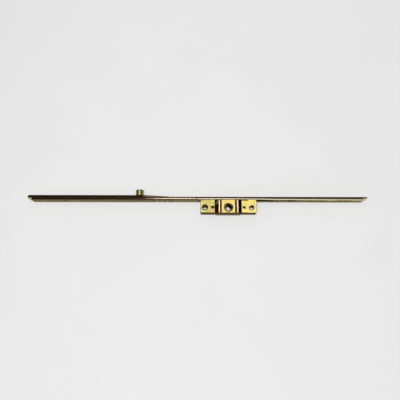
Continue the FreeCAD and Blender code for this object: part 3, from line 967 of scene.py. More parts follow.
        # Painted shade on the downward walls, lighter towards the rear.
        rearward = graph.band(depth, *self.underside_depth)
        underside = graph.blend(rearward, self.underside_shade_front, self.underside_shade_rear)
        downward = graph.band(graph.facing()[1], *self.underside_facing)
        return graph.blend(graph.overlap(downward, graph.band(up, *self.underside_up)), walls, underside)

    def _countersinks(self, graph: Graph, colour: Socket) -> Socket:
        """Puts painted light and shade in the screw holes' cones: pale and lit on the right with a shaded
        inner edge, shaded brown on the left.

        Args:
            graph: The material's graph.
            colour: The colour so far.

        Returns:
            The colour.
        """
        along, _, depth = self._where(graph)
        # Painted light on the right cone, painted shade on its inner edge and on the left cone.
        cone = graph.overlap(
            graph.plateau(graph.facing()[2], *self.cone_facing),
            graph.band(graph.math("ABSOLUTE", along), *self.cone_away),
            graph.band(depth, *self.cone_depth),
        )
        inner = graph.band(depth, *self.cone_inner_depth)
        right = graph.blend(inner, self.right_cone_lit_tone, self.cone_shade_tone)
        lining = graph.blend(graph.band(along, *self.cone_change), self.cone_shade_tone, right)
        return graph.blend(cone, colour, lining)

    def _left_recess(self, graph: Graph, colour: Socket) -> Socket:
        """Paints light on the upper end of the wide recess on the left.

        Args:
            graph: The material's graph.
            colour: The colour so far.

        Returns:
            The colour.
        """
        along, up, depth = self._where(graph)
        outer, inner = -self.side_reach, -self.rib_far
        # Painted light on the recess's upper end.
        lit_recess = graph.overlap(
            graph.plateau(along, outer, outer + self.edge, inner - self.edge, inner),
            graph.band(up, *self.left_recess_up),
            graph.plateau(depth, *self.recess_depth, *self.left_recess_floor),
        )
        return graph.blend(lit_recess, colour, self.left_recess_light_tone)


@dataclass(frozen=True, kw_only=True)
class TurnedFinish(Metal):
    """Turned steel with fine tool lines round its axis, with yellow plating."""

    tone: Colour
    olive: Colour
    worn: Colour
    rose: Colour = (0.6, 0.36, 0.2)
    olive_amount: float = 0.5
    rose_amount: float = 0.2
    patches_per_metre: float = 220.0
    lines_per_metre: float = 2600.0
    line_height: float = 0.3
    wobbles_per_metre: float = 800.0
    wear_amount: float = 0.5
    # Dark colour of the painted shade in inner corners.
    grime_and_shade: Colour = (0.02, 0.012, 0.005)
    corner_reach: float = 1.0 * MM
    relief: float = 0.01 * MM
    relief_strength: float = 0.5

    def look(self, graph: Graph, effects: Effects, wear: Socket, corners: Socket) -> Look:
        """Bloom, worn edges, tool lines and painted shade in the corners.

        Args:
            graph: The material's graph.
            effects: The shared effects.
            wear: Where edges are worn.
            corners: Where inner corners and holes get painted shade.

        Returns:
            The look.
        """
        lengthways = graph.where()[Axis.ALONG_Y.value]
        turns = graph.math("MULTIPLY", lengthways, self.lines_per_metre * 2 * math.pi)
        wobble = graph.noise(self.wobbles_per_metre)
        bloom = graph.put(
            effects.bloom,
            Tone=self.tone,
            Olive=self.olive,
            Rose=self.rose,
            Olive_Amount=self.olive_amount,
            Rose_Amount=self.rose_amount,
            Patches_per_Metre=self.patches_per_metre,
        )
        colour = graph.blend(graph.overlap(wear, self.wear_amount), bloom["Color"], self.worn)
        height = graph.weighted((graph.math("SINE", turns), self.line_height), (wobble, 1.0))
        # Inner corners take painted shade.
        return Look(graph.blend(corners, colour, self.grime_and_shade), wobble, height)


@dataclass(frozen=True, kw_only=True)
class SinteredFinish(Metal):
    """Oiled sintered steel with open pores, with painted light on the lower left and painted shade inside its
    hole.
    """

    tone: Colour
    pore: Colour
    # Paler colour that paints light on the lower left.
    worn: Colour
    bright: Colour = (0.7, 0.62, 0.5)
    # Painted shade inside the hole.
    hole: Colour = (0.004, 0.003, 0.002)
    pores_per_metre: float = 2600.0
    pore_size: Span = (0.1, 0.3)
    grain_per_metre: float = 1800.0
    # Where painted light makes the lower left paler.
    lit_slant: Span = (2.0 * MM, -5.0 * MM)
    lit_amounts: Span = (0.6, 1.0)
    bright_amount: float = 0.6
    wear_radius: float = 0.25 * MM
    relief: float = 0.02 * MM
    relief_strength: float = 0.6

    def look(self, graph: Graph, effects: Effects, wear: Socket, corners: Socket) -> Look:
        """Pores, a paler lower left of painted light with bright worn edges, and painted shade in the hole.

        Args:
            graph: The material's graph.
            effects: The shared effects.
            wear: Where edges are worn.
            corners: Where inner corners and holes get painted shade.

        Returns:
            The look.
        """
        pores = graph.band(graph.cells(self.pores_per_metre), *self.pore_size)
        grain = graph.noise(self.grain_per_metre, detail=4.0)
        along, up, _ = graph.where()
        # Painted light: the lower left is paler, and its worn edges are bright only there.
        lit_lower_left = graph.band(graph.math("ADD", along, up), *self.lit_slant)
        mottled = graph.overlap(lit_lower_left, graph.band(grain, *graph.NOISE_RANGE, *self.lit_amounts))
        colour = graph.blend(pores, self.pore, graph.blend(mottled, self.tone, self.worn))
        bright = graph.overlap(wear, graph.fade(corners, self.bright_amount, 0.0), lit_lower_left)
        # Painted shade inside the hole.
        colour = graph.blend(corners, graph.blend(bright, colour, self.bright), self.hole)
        return Look(colour, grain, graph.math("ADD", grain, pores))


FACEPLATE_FINISH = StripFinish(
    name="faceplate_zinc",
    roughness=0.42,
    polished_roughness=0.3,
    tone=(0.72, 0.58, 0.3),
    # The sheared sides' near-black tone is painted shade.
    side_tone=(0.008, 0.004, 0.001),
)
RACK_ROD_FINISH = RodFinish(
    name="rack_rod_zinc",
    grazing_tint=(0.2, 0.18, 0.14),
    tone=(0.44, 0.39, 0.25),
    # The pale side tone is painted sheen on the burnished line and a painted highlight on the front edge.
    side_tone=(0.92, 0.8, 0.6),
    front=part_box("rack_rod")[1][2],
    burnished_sheen_place=(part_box("rack_rod")[0][1] + 1.25 * MM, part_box("rack_rod")[0][1] + 0.4 * MM),
    burnished_sheen_reach=(0.42 * MM, 0.62 * MM),
    edge_shadow_wider=6.5 * MM,
    bright_width=(2.0 * MM, 6.0 * MM),
)
DRIVE_ROD_FINISH = RodFinish(
    name="drive_rod_zinc",
    grazing_tint=(0.16, 0.15, 0.13),
    tone=(0.42, 0.38, 0.26),
    # The pale side tone is painted sheen on the burnished line; towards the left end the side takes painted
    # shade.
    side_tone=(0.86, 0.68, 0.52),
    front=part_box("drive_rod")[1][2],
    burnished_sheen_place=(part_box("drive_rod")[0][1] + 1.4 * MM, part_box("drive_rod")[0][1] + 1.4 * MM),
    burnished_sheen_reach=(0.45 * MM, 0.45 * MM),
    side_change=(-84 * MM, -124 * MM),
    changed_side_tone=(0.022, 0.011, 0.005),
)
SLIDE_FINISH = StripFinish(
    name="slide_zinc",
    roughness=0.42,
    polished_roughness=0.3,
    tone=(0.58, 0.46, 0.25),
    # The sheared sides' near-black tone is painted shade, paler towards the right end as painted light.
    side_tone=(0.006, 0.003, 0.001),
    side_change=(-120 * MM, -111 * MM),
    changed_side_tone=(0.12, 0.08, 0.05),
)
CASE_FINISH = CastFinish(
    name="case_zinc",
    roughness=0.4,
    polished_roughness=0.26,
    grazing_tint=(0.5, 0.46, 0.36),
    left_tone=(0.51, 0.44, 0.16),
    middle_tone=(0.856, 0.638, 0.216),
    right_tone=(0.956, 0.799, 0.242),
    olive=(0.5, 0.6, 0.16),
    left_rose=(0.57, 0.36, 0.155),
    rib_highlight_tone=(0.86, 0.68, 0.46),
    recess_shade_tone=(0.02, 0.008, 0.001),
    left_groove_shade_tone=(0.25, 0.135, 0.014),
    left_recess_light_tone=(0.18, 0.125, 0.065),
    cone_shade_tone=(0.17, 0.1, 0.055),
    right_cone_lit_tone=(0.8, 0.7, 0.4),
    underside_shade_front=(0.075, 0.05, 0.027),
    underside_shade_rear=(0.24, 0.21, 0.16),
    grime_and_shade=(0.01, 0.005, 0.001),
    front=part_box("gear_housing")[1][2],
)
FOLLOWER_FINISH = SinteredFinish(
    name="follower_steel",
    roughness=0.4,
    polished_roughness=0.25,
    grazing_tint=(0.05, 0.05, 0.05),
    tone=(0.06, 0.03, 0.01),
    pore=(0.02, 0.01, 0.005),
    worn=(0.3, 0.2, 0.1),
    corner_reach=14.0 * MM,
)
CAM_FINISH = TurnedFinish(
    name="cam_steel",
    roughness=0.18,
    polished_roughness=0.12,
    grazing_tint=(0.4, 0.36, 0.25),
    tone=(0.33, 0.29, 0.13),
    olive=(0.26, 0.25, 0.1),
    worn=(0.7, 0.62, 0.42),
)
RIVET_FINISH = TurnedFinish(
    name="rivet_steel",
    roughness=0.45,
    polished_roughness=0.3,
    grazing_tint=(0.2, 0.18, 0.14),
    tone=(0.48, 0.4, 0.23),
    olive=(0.4, 0.38, 0.19),
    worn=(0.54, 0.46, 0.31),
)


class Finishes:
    """Every finish's material, made when it is first asked for."""

    def __init__(self) -> None:
        """Builds the shared effects."""
        self.effects = Effects()
        self.made: Dict[str, bpy.types.Material] = {}

    def of(self, finish: Metal) -> bpy.types.Material:
        """The one material of a finish.

        Args:
            finish: The finish.

        Returns:
            Its material.
        """
        if finish.name not in self.made:
            self.made[finish.name] = finish.material(self.effects)
        return self.made[finish.name]


def as_object(name: str, mesh: bmesh.types.BMesh) -> bpy.types.Object:
    """Turns a finished bmesh into an object in the scene, smooth between its sharp edges.

    Args:
        name: The object's name.
        mesh: The bmesh, which is freed.

    Returns:
        The object.
    """
    bmesh.ops.recalc_face_normals(mesh, faces=mesh.faces)
    data = bpy.data.meshes.new(name)
    mesh.to_mesh(data)
    mesh.free()
    data.shade_smooth()
    data.set_sharp_from_angle(angle=SMOOTH_BELOW)
    piece = bpy.data.objects.new(name, data)
    bpy.context.collection.objects.link(piece)
    return piece


@dataclass(frozen=True)
class Ring:
    """One ring of a turned part: round, or with flats where a key goes in."""

    radius: float
    height: float
    flats: int = 0

    def radius_at(self, angle: float) -> float:
        """The distance from the axis at an angle, where radius is half the distance across flats.

        Args:
            angle: The angle about the axis.

        Returns:
            The distance.
        """
        if not self.flats:
            return self.radius
        share = 2 * math.pi / self.flats
        return self.radius / math.cos(angle % share - share / 2)


@dataclass
class TurnedPart:
    """A part turned on a lathe: rings about an axis, joined from first to last."""

    rings: List[Ring]
    axis: Axis = Axis.ALONG_Y
    sides: int = 48
    hollow: bool = False

    def add_to(self, mesh: bmesh.types.BMesh, centre: Vector) -> None:
        """Adds the part to a mesh.

        Args:
            mesh: The mesh.
            centre: A point on the part's axis, whose place along the axis isn't used.
        """
        built = [self._points(mesh, ring, centre) for ring in self.rings]
        pairs = list(zip(built, built[1:]))
        if self.hollow:
            pairs.append((built[-1], built[0]))
        for lower, upper in pairs:
            self._join(mesh, lower, upper)

    def _points(self, mesh: bmesh.types.BMesh, ring: Ring, centre: Vector) -> List[bmesh.types.BMVert]:
        """The points of one ring, or the one point on the axis.

        Args:
            mesh: The mesh.
            ring: The ring.
            centre: A point on the part's axis.

        Returns:
            The new points.
        """
        if ring.radius == 0:
            return [mesh.verts.new(self._at(0, 0, ring.height, centre))]
        points = []
        for i in range(self.sides):
            angle = 2 * math.pi * i / self.sides
            radius = ring.radius_at(angle)
            place = self._at(radius * math.cos(angle), radius * math.sin(angle), ring.height, centre)
            points.append(mesh.verts.new(place))
        return points

    def _at(self, across: float, up: float, height: float, centre: Vector) -> Vector:
        """A point from its two offsets and its height along the axis.

        Args:
            across: The offset along X.
            up: The offset along the other direction square to the axis.
            height: The place along the axis.
            centre: A point on the part's axis.

        Returns:
            The point.
        """
        if self.axis is Axis.ALONG_Y:
            return Vector((centre.x + across, height, centre.z + up))
        return Vector((centre.x + across, centre.y + up, height))

    def _join(
        self, mesh: bmesh.types.BMesh, lower: List[bmesh.types.BMVert], upper: List[bmesh.types.BMVert]
    ) -> None:
        """Adds the faces between two rings, or between a ring and a point.

        Args:
            mesh: The mesh.
            lower: The first ring's points.
            upper: The second ring's points.
        """
        for i in range(self.sides):
            after = (i + 1) % self.sides
            if len(lower) == 1:
                mesh.faces.new((lower[0], upper[i], upper[after]))
            elif len(upper) == 1:
                mesh.faces.new((lower[i], lower[after], upper[0]))
            else:
                mesh.faces.new((lower[i], lower[after], upper[after], upper[i]))


Make = Callable[[Vector, Vector], TurnedPart]

# The CAD's meshes draw small holes and shanks with 16 flats. A round part of this share fits inside them.
ROUND_IN_FLATS = math.cos(math.pi / 16)
HEAD_EDGE = 0.05 * MM
# Each ring of a peened face: its share of the head's radius, and how deep it lies.
PEENED_RINGS = (
    (0.93, 0.0),
    (0.82, 0.096 * MM),
    (0.55, 0.16 * MM),
    (0.3, 0.144 * MM),
    (0.16, 0.07 * MM),
    (0.0, 0.049 * MM),
)
RIM_STEPS = 5
RIM_FOOT = 1.2


def peened_face(radius: float, face: float, inward: int) -> List[Ring]:
    """The dished face that a spinning punch leaves on a rivet.

    Args:
        radius: The head's radius.
        face: The height of its rim.
        inward: 1 where the rivet goes down from this face, -1 where it goes up.

    Returns:
        Rings from the rim to the axis.
    """
    return [Ring(radius * share, face - inward * depth) for share, depth in PEENED_RINGS]


def rounded_rim(radius: float, face: float, inward: int, size: float) -> List[Ring]:
    """A rim rounded by a quarter circle, from the face to the outside.

    Args:
        radius: The part's radius.
        face: The height of the face.
        inward: 1 where the part goes down from this face, -1 where it goes up.
        size: The rounding's radius.

    Returns:
        Rings from the face to the outside.
    """
    rings = []
    for step in range(RIM_STEPS + 1):
        angle = math.pi / 2 * step / RIM_STEPS
        out = radius - size + size * math.sin(angle)
        rings.append(Ring(out, face - inward * size * (1 - math.cos(angle))))
    return rings + [Ring(radius, face - inward * size * RIM_FOOT)]


@dataclass(frozen=True)
class FlushRivet:
    """A rivet with a tapered, peened head at one or both ends."""

    shank_radius: float = 2.0 * MM
    head_radius: float = 2.9 * MM
    head_depth: float = 0.9 * MM
    lower_head: bool = True
    plain_end_share: float = 0.9
    plain_edge: float = 0.2 * MM

    def upper_end(self, top: float) -> List[Ring]:
        """The upper end of the shank and the head on it.

        Args:
            top: The upper face.

        Returns:
            Rings from the shank to the axis.
        """
        head = self.head_radius * ROUND_IN_FLATS
        rings = [Ring(self.shank_radius * ROUND_IN_FLATS, top - self.head_depth), Ring(head, top - HEAD_EDGE)]
        return rings + peened_face(head, top, 1)

    def part(self, low: Vector, high: Vector) -> TurnedPart:
        """Makes the turned part between its lowest and highest corner.

        Args:
            low: The solid's lowest corner.
            high: The solid's highest corner.

        Returns:
            The turned part.
        """
        shank = self.shank_radius * ROUND_IN_FLATS
        head = self.head_radius * ROUND_IN_FLATS
        if self.lower_head:
            rings = peened_face(head, low.y, -1)[::-1]
            rings += [Ring(head, low.y + HEAD_EDGE), Ring(shank, low.y + self.head_depth)]
        else:
            rings = [Ring(0, low.y), Ring(shank * self.plain_end_share, low.y)]
            rings += [Ring(shank, low.y + self.plain_edge)]
        return TurnedPart(rings + self.upper_end(high.y))


@dataclass(frozen=True)
class Sleeve:
    """A plain sleeve, as wide as its solid, with this bore."""

    bore: float
    edge: float = 0.12 * MM

    def part(self, low: Vector, high: Vector) -> TurnedPart:
        """Makes the turned part between its lowest and highest corner.

        Args:
            low: The solid's lowest corner.
            high: The solid's highest corner.

        Returns:
            The turned part.
        """
        outer = (high.z - low.z) / 2 * ROUND_IN_FLATS
        rings = [Ring(self.bore, low.y), Ring(outer - self.edge, low.y), Ring(outer, low.y + self.edge)]
        rings += [Ring(outer, high.y - self.edge), Ring(outer - self.edge, high.y), Ring(self.bore, high.y)]
        return TurnedPart(rings, hollow=True)


def separate_solids(node: str) -> List[Box]:
    """Finds the box of each separate solid of a CAD node.

    Args:
        node: The node's name.

    Returns:
        The lowest and highest corner of each solid, from left to right.
    """
    mesh = bmesh.new()
    mesh.from_mesh(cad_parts[node].data)
    bmesh.ops.remove_doubles(mesh, verts=mesh.verts, dist=SAME_POINT)
    waiting = set(mesh.verts)
    boxes = []
    while waiting:
        reached = [waiting.pop()]
        for vert in reached:
            for edge in vert.link_edges:
                other = edge.other_vert(vert)
                if other in waiting:
                    waiting.remove(other)
                    reached.append(other)
        low = Vector([min(vert.co[i] for vert in reached) for i in range(3)])
        high = Vector([max(vert.co[i] for vert in reached) for i in range(3)])
        boxes.append((low, high))
    mesh.free()
    return sorted(boxes, key=lambda box: (round(box[0].x, 5), box[0].y))


@dataclass
class SubAssembly:
    """Pieces that a fitter would handle as one thing, and the finish that each waits for."""

    waiting: List[Tuple[bpy.types.Object, Metal]] = field(default_factory=list, init=False)

    def build(self) -> None:
        """Builds the sub-assembly's own meshes and takes over its CAD nodes."""
        raise NotImplementedError

    def dress(self, finishes: Finishes) -> None:
        """Gives every piece its material.

        Args:
            finishes: The materials.
        """
        for piece, finish in self.waiting:
            material = finishes.of(finish)
            if piece.material_slots:
                for place in piece.material_slots:
                    place.material = material
            else:
                piece.data.materials.append(material)
            log.info("%s has %s, %d faces", piece.name, finish.name, len(piece.data.polygons))

    def carry(self, node: str, finish: Metal) -> None:
        """Takes a CAD node over as it is."""
        self.waiting.append((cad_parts[node], finish))

    def stand_in(self, node: str, body: Body, slot: Slot, finish: Metal, make: Make) -> None:
        """Replaces a CAD node by turned parts, one for each of its solids.

        Args:
            node: The CAD node.
            body: The body that it rides on.
            slot: The material slot that it would take; not used.
            finish: Its finish.
            make: Makes the turned part from a solid's lowest and highest corner.
        """
        mesh = bmesh.new()
        for low, high in separate_solids(node):
            make(low, high).add_to(mesh, (low + high) / 2)
        piece = as_object(node + "_turned", mesh)
        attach(piece, body.value)
        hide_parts(node)
        self.waiting.append((piece, finish))

    def fasten(self, body: Body, makes: Dict[str, Make]) -> None:
        """Replaces the CAD nodes of rivets, sleeves and bushes.

        Args:
            body: The body that they ride on.
            makes: What makes the turned part, for each node.
        """
        for node, make in makes.items():
            self.stand_in(node, body, Slot.RIVETS, RIVET_FINISH, make)


@dataclass
class FaceplateAssembly(SubAssembly):
    """The faceplate with the studs that hang the case and the guides that carry the rods."""

    stud: FlushRivet = FlushRivet(lower_head=False)
    guide: FlushRivet = FlushRivet(shank_radius=1.5 * MM)
    guide_head_radius: float = 2.6 * MM
    guide_head: float = 0.5 * MM
    bush_radius: float = 3.0 * MM
    bush_flange_radius: float = 4.5 * MM
    bush_flange: float = 0.6 * MM
    fit: float = 0.05 * MM
    edge: float = 0.1 * MM

    def build(self) -> None:
        """Takes the faceplate over and turns its studs, sleeves, rivets and bushes."""
        self.carry("faceplate", FACEPLATE_FINISH)
        makes = {
            "case_studs": self.stud.part,
            "stud_sleeves": Sleeve(self.stud.shank_radius + self.fit).part,
            "guide_rivets": self._guide_rivet,
            "guide_bushes": self._guide_bush,
        }
        self.fasten(Body.CASE, makes)

    def _guide_rivet(self, low: Vector, high: Vector) -> TurnedPart:
        """A rivet with a flat head under its bush and a flush one in the faceplate.

        Args:
            low: The solid's lowest corner.
            high: The solid's highest corner.

        Returns:
            The turned part.
        """
        head = self.guide_head_radius * ROUND_IN_FLATS
        shank = self.guide.shank_radius * ROUND_IN_FLATS
        shoulder = low.y + self.guide_head
        rings = peened_face(head, low.y, -1)[::-1]
        rings += [Ring(head, low.y + self.edge), Ring(head, shoulder), Ring(shank, shoulder)]
        return TurnedPart(rings + self.guide.upper_end(high.y))

    def _guide_bush(self, low: Vector, high: Vector) -> TurnedPart:
        """A flanged bush with its bore.

        Args:
            low: The solid's lowest corner.
            high: The solid's highest corner.

        Returns:
            The turned part.
        """
        bore = self.guide.shank_radius + self.fit
        flange = self.bush_flange_radius * ROUND_IN_FLATS
        body = self.bush_radius * ROUND_IN_FLATS
        flange_top = low.y + self.bush_flange
        rings = [Ring(bore, low.y + self.edge), Ring(bore + self.edge, low.y)]
        rings += [Ring(flange - self.edge, low.y), Ring(flange, low.y + self.edge)]
        rings += [Ring(flange, flange_top - self.edge), Ring(flange - self.edge, flange_top)]
        rings += [Ring(body, flange_top), Ring(body, high.y), Ring(bore, high.y)]
        return TurnedPart(rings, hollow=True)


@dataclass
class GearCase(SubAssembly):
    """Housing, back cover and its rivets, the follower, and the threads for the handle's screws."""

    cover_rivet_radius: float = 0.9 * MM
    cover_rivet_sides: int = 24
    screw_spacing: float = 43.0 * MM
    screw_hole_radius: float = 2.1 * MM
    thread_pitch: float = 0.8 * MM
    thread_height: float = 0.22 * MM
    thread_root: float = 0.05 * MM
    thread_flank_share: float = 0.3
    thread_below_front: float = 0.5 * MM
    thread_depth: float = 10.4 * MM
    thread_sides: int = 24

    def build(self) -> None:
        """Takes housing, cover and follower over, turns the cover's rivets and cuts the threads."""
        self.carry("gear_housing", CASE_FINISH)
        self.carry("gear_back_cover", CASE_FINISH)
        self.carry("spindle_follower", FOLLOWER_FINISH)
        self.fasten(Body.CASE, {"cover_rivets": self._cover_rivet})
        self._threads()

    def _cover_rivet(self, low: Vector, high: Vector) -> TurnedPart:
        """A small rivet of the back cover, dished at the rear.

        Args:
            low: The solid's lowest corner.
            high: The solid's highest corner.

        Returns:
            The turned part.
        """
        radius = self.cover_rivet_radius * ROUND_IN_FLATS
        rings = peened_face(radius, low.z, -1)[::-1]
        rings += [Ring(radius, low.z + HEAD_EDGE), Ring(radius, high.z), Ring(0, high.z)]
        return TurnedPart(rings, axis=Axis.ALONG_Z, sides=self.cover_rivet_sides)

    def _threads(self) -> None:
        """Winds a thread down each of the handle's screw holes."""
        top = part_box("gear_housing")[1][2] - self.thread_below_front
        mesh = bmesh.new()
        for side in (-1, 1):
            self._wind(mesh, side * self.screw_spacing / 2, top)
        piece = as_object("handle_screw_threads", mesh)
        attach(piece, Body.CASE.value)
        self.waiting.append((piece, CASE_FINISH))

    def _wind(self, mesh: bmesh.types.BMesh, x: float, top: float) -> None:
        """Adds one ridge of triangular section, from the mouth of a hole downwards.

        Args:
            mesh: The mesh.
            x: The hole's place along the bar.
            top: The height of the thread's start.
        """
        steps = int(self.thread_depth / self.thread_pitch * self.thread_sides)
        root = self.screw_hole_radius + self.thread_root
        flank = self.thread_flank_share * self.thread_pitch
        previous = None
        for step in range(steps + 1):
            angle = 2 * math.pi * step / self.thread_sides
            height = top - self.thread_pitch * step / self.thread_sides
            runout = min(1.0, step / self.thread_sides, (steps - step) / self.thread_sides)
            crest = self.screw_hole_radius - self.thread_height * runout
            section = [
                mesh.verts.new((x + radius * math.cos(angle), radius * math.sin(angle), height + rise))
                for radius, rise in ((root, -flank), (crest, 0.0), (root, flank))
            ]
            if previous is None:
                mesh.faces.new(section)
            else:
                for i in range(3):
                    after = (i + 1) % 3
                    mesh.faces.new((previous[i], previous[after], section[after], section[i]))
            previous = section
        mesh.faces.new(previous)


@dataclass
class DriveRods(SubAssembly):
    """The two lapped rods and their rivets."""

    rivet: FlushRivet = FlushRivet()

    def build(self) -> None:
        """Takes the rods over and turns the lap's rivets."""
        self.carry("rack_rod", RACK_ROD_FINISH)
        self.carry("drive_rod", DRIVE_ROD_FINISH)
        self.fasten(Body.DRIVE, {"lap_rivets": self.rivet.part})


@dataclass
class CamSlide(SubAssembly):
    """The slide on the faceplate's front, with the rivets and sleeves that tie it to the rod."""

    rivet: FlushRivet = FlushRivet()
    fit: float = 0.05 * MM

    def build(self) -> None:
        """Takes the slide over and turns its rivets and spacers."""
        self.carry("cam_slide", SLIDE_FINISH)
        spacer = Sleeve(self.rivet.shank_radius + self.fit)
        self.fasten(Body.DRIVE, {"slide_rivets": self.rivet.part, "slide_spacers": spacer.part})


@dataclass
class RollerCam(SubAssembly):
    """The roller on its stud, with washer and spacer."""

    roller_rim: float = 0.25 * MM
    roller_bore: float = 3.05 * MM
    counterbore_radius: float = 4.2 * MM
    counterbore_depth: float = 1.4 * MM
    foot_radius: float = 3.5 * MM
    foot_depth: float = 0.9 * MM
    shank_radius: float = 2.5 * MM
    journal_radius: float = 3.0 * MM
    stud_head_radius: float = 4.0 * MM
    stud_head: float = 1.3 * MM
    key_sides: int = 6
    key_across_flats: float = 3.0 * MM
    key_mouth_share: float = 1.25
    key_depth: float = 1.0 * MM
    edge: float = 0.15 * MM
    fit: float = 0.05 * MM
    sides: int = 96

    def build(self) -> None:
        """Turns the roller, its stud, its washer and the spacer below."""
        self.stand_in("cam_roller", Body.ROLLER, Slot.CAM, CAM_FINISH, self._roller)
        self.stand_in("cam_stud", Body.DRIVE, Slot.CAM, CAM_FINISH, self._stud)
        self.stand_in("cam_washer", Body.DRIVE, Slot.CAM, CAM_FINISH, self._washer)
        self.fasten(Body.DRIVE, {"cam_spacer": Sleeve(self.shank_radius + self.fit).part})

    def _roller(self, low: Vector, high: Vector) -> TurnedPart:
        """The roller with rounded rims, its bore and the counterbore for the stud's head.

        Args:
            low: The solid's lowest corner.
            high: The solid's highest corner.

        Returns:
            The turned part.
        """
        radius = (high.x - low.x) / 2
        seat = high.y - self.counterbore_depth
        rings = [Ring(self.roller_bore, low.y + self.edge), Ring(self.roller_bore + self.edge, low.y)]
        rings += rounded_rim(radius, low.y, -1, self.roller_rim)
        rings += rounded_rim(radius, high.y, 1, self.roller_rim)[::-1]
        rings += [
            Ring(self.counterbore_radius + self.edge, high.y),
            Ring(self.counterbore_radius, high.y - self.edge),
            Ring(self.counterbore_radius, seat),
            Ring(self.roller_bore, seat),
        ]
        return TurnedPart(rings, sides=self.sides, hollow=True)

    def _stud(self, low: Vector, high: Vector) -> TurnedPart:
        """The stud from its riveted foot to the key recess in its head.

        Args:
            low: The solid's lowest corner.
            high: The solid's highest corner.

        Returns:
            The turned part.
        """
        foot = self.foot_radius * ROUND_IN_FLATS
        shank = self.shank_radius * ROUND_IN_FLATS
        head = self.stud_head_radius
        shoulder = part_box("cam_slide")[1][1]
        head_low = high.y - self.stud_head
        key = self.key_across_flats / 2
        rings = peened_face(foot, low.y, -1)[::-1]
        rings += [Ring(foot, low.y + HEAD_EDGE), Ring(shank, low.y + self.foot_depth), Ring(shank, shoulder)]
        rings += [Ring(self.journal_radius, shoulder), Ring(self.journal_radius, head_low)]
        rings += rounded_rim(head, head_low, -1, self.edge)
        rings += rounded_rim(head, high.y, 1, self.edge)[::-1]
        rings += [
            Ring(key * self.key_mouth_share, high.y),
            Ring(key, high.y - self.edge, self.key_sides),
            Ring(key, high.y - self.key_depth, self.key_sides),
            Ring(0, high.y - self.key_depth - self.edge),
        ]
        return TurnedPart(rings, sides=self.sides)

    def _washer(self, low: Vector, high: Vector) -> TurnedPart:
        """The washer under the roller.

        Args:
            low: The solid's lowest corner.
            high: The solid's highest corner.

        Returns:
            The turned part.
        """
        radius = (high.x - low.x) / 2
        rings = [Ring(self.roller_bore, low.y)]
        rings += rounded_rim(radius, low.y, -1, self.edge)
        rings += rounded_rim(radius, high.y, 1, self.edge)[::-1]
        return TurnedPart(rings + [Ring(self.roller_bore, high.y)], sides=self.sides, hollow=True)


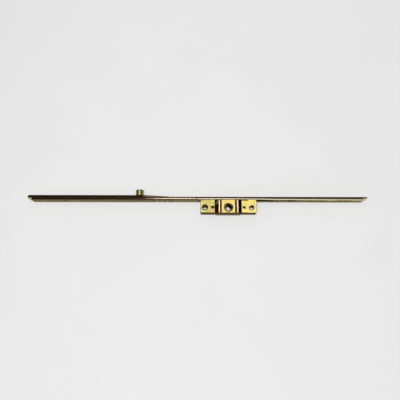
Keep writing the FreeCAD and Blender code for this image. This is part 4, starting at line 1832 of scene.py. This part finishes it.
@dataclass
class Studio:
    """Pale table, soft light and the camera at the photograph's angle."""

    table_reach: float = 6.0
    table_gap: float = 0.1 * MM
    table_colour: Colour = (0.815, 0.815, 0.815)
    table_roughness: float = 0.7
    table_mottle: Span = (0.985, 1.0)
    mottles_per_metre: float = 9.0
    plain_share: float = 0.65
    card_place: float = 0.5
    card_length: float = 1.2
    card_roughness: float = 0.9
    felt_per_metre: float = 40.0
    card_dark: Colour = (0.02, 0.02, 0.02)
    card_light: Colour = (0.04, 0.04, 0.04)
    left_card: Span = (0.02, 0.3)
    right_card: Span = (0.22, 0.66)
    aim: Triple = (-0.0387, 0.01036, 0.016)
    distance: float = 0.62
    elevation: float = 74.0
    turn: float = 0.1
    lens: float = 40.6
    sensor_width: float = 36.0
    softbox_place: Triple = (-0.22, -0.32, 1.26)
    softbox_size: float = 0.25
    softbox_energy: float = 8.0
    spot_place: Triple = (-0.11, 0.35, 1.26)
    spot_size: float = 0.12
    spot_energy: float = 0.8
    sky_strength: float = 0.8
    sky_levels: Span = (0.95, 0.6)
    sky_change: Span = (0.2, 0.75)

    def build(self) -> None:
        """Sets up table, light and camera."""
        self._table()
        self._dark_card("left_card", -self.card_place, self.left_card)
        self._dark_card("right_card", self.card_place, self.right_card)
        self._sky()
        self._lamp("softbox", self.softbox_place, self.softbox_size, self.softbox_energy)
        self._lamp("spot", self.spot_place, self.spot_size, self.spot_energy)
        self._camera()
        bpy.context.scene.view_settings.view_transform = "Standard"

    def _table(self) -> None:
        """A large pale table top with a faint mottle, clear from below so that it hides nothing."""
        mesh = bmesh.new()
        bmesh.ops.create_grid(mesh, x_segments=2, y_segments=2, size=self.table_reach)
        bmesh.ops.translate(mesh, verts=mesh.verts, vec=(0, 0, -self.table_gap))
        table = as_object("table", mesh)
        material, graph, shader = new_material("pale_table")
        shader.inputs["Roughness"].default_value = self.table_roughness
        clouds = graph.noise(self.mottles_per_metre)
        mottle = graph.band(clouds, *graph.NOISE_RANGE, *self.table_mottle)
        colour = graph.shaded(self.table_colour, mottle)
        graph.feed(shader.inputs["Base Color"], colour)
        plain_light = graph.run("ShaderNodeEmission", 0, {"Color": colour})
        ray = graph.add("ShaderNodeLightPath").outputs
        seen = graph.math("MAXIMUM", ray["Is Camera Ray"], ray["Is Glossy Ray"])
        seen = graph.math("MAXIMUM", seen, ray["Is Transmission Ray"])
        share = graph.math("MULTIPLY", seen, self.plain_share)
        top = graph.run("ShaderNodeMixShader", 0, {0: share, 1: shader.outputs[0], 2: plain_light})
        # The grid's faces point down, so the top is their back.
        back = graph.add("ShaderNodeNewGeometry").outputs["Backfacing"]
        clear = graph.add("ShaderNodeBsdfTransparent").outputs[0]
        sided = graph.run("ShaderNodeMixShader", 0, {0: back, 1: clear, 2: top})
        graph.feed(material.node_tree.nodes["Material Output"].inputs["Surface"], sided)
        table.data.materials.append(material)

    def _dark_card(self, name: str, x: float, heights: Span) -> None:
        """A dark card beside the table, which gives round metal its dark bands.

        Args:
            name: The card's name.
            x: Its place along the bar.
            heights: Its lower and upper edge.
        """
        half = self.card_length / 2
        mesh = bmesh.new()
        corners = [(-half, heights[0]), (half, heights[0]), (half, heights[1]), (-half, heights[1])]
        mesh.faces.new([mesh.verts.new((x, y, z)) for y, z in corners])
        card = as_object(name, mesh)
        material, graph, shader = new_material(name + "_felt")
        felt = graph.blend(graph.noise(self.felt_per_metre), self.card_dark, self.card_light)
        graph.feed(shader.inputs["Base Color"], felt)
        shader.inputs["Roughness"].default_value = self.card_roughness
        card.data.materials.append(material)
        card.visible_camera = False

    def _sky(self) -> None:
        """A pale surround, a little darker to the right."""
        world = bpy.data.worlds.new("studio")
        bpy.context.scene.world = world
        world.use_nodes = True
        graph = Graph(world.node_tree)
        background = world.node_tree.nodes["Background"]
        sideways = graph.parts(graph.add("ShaderNodeTexCoord").outputs["Generated"])[0]
        level = graph.band(sideways, *self.sky_change, *self.sky_levels)
        graph.feed(background.inputs["Color"], graph.shaded((1.0, 1.0, 1.0), level))
        background.inputs["Strength"].default_value = self.sky_strength

    def _lamp(self, name: str, place: Triple, size: float, energy: float) -> None:
        """A round lamp that points at the object.

        Args:
            name: The lamp's name.
            place: Its place, counted from the point that the camera looks at.
            size: Its diameter.
            energy: Its power.
        """
        data = bpy.data.lights.new(name, "AREA")
        data.shape = "DISK"
        data.size = size
        data.energy = energy
        lamp = bpy.data.objects.new(name, data)
        lamp.location = Vector(self.aim) + Vector(place)
        lamp.rotation_euler = Vector(place).to_track_quat("Z", "Y").to_euler()
        bpy.context.collection.objects.link(lamp)

    def _camera(self) -> None:
        """The camera above the table, leaning back from upright."""
        data = bpy.data.cameras.new("camera")
        data.lens = self.lens
        data.sensor_width = self.sensor_width
        rise = math.radians(self.elevation)
        towards_camera = Vector((0, -math.cos(rise), math.sin(rise)))
        camera = bpy.data.objects.new("camera", data)
        camera.location = Vector(self.aim) + self.distance * towards_camera
        camera.rotation_euler = (math.radians(90 - self.elevation), 0, math.radians(self.turn))
        bpy.context.collection.objects.link(camera)
        bpy.context.scene.camera = camera


def main() -> None:
    """Builds and dresses every sub-assembly, then sets the studio up."""
    finishes = Finishes()
    for assembly in (FaceplateAssembly(), GearCase(), DriveRods(), CamSlide(), RollerCam()):
        assembly.build()
        assembly.dress(finishes)
    Studio().build()


if __name__ == "__main__":
    main()
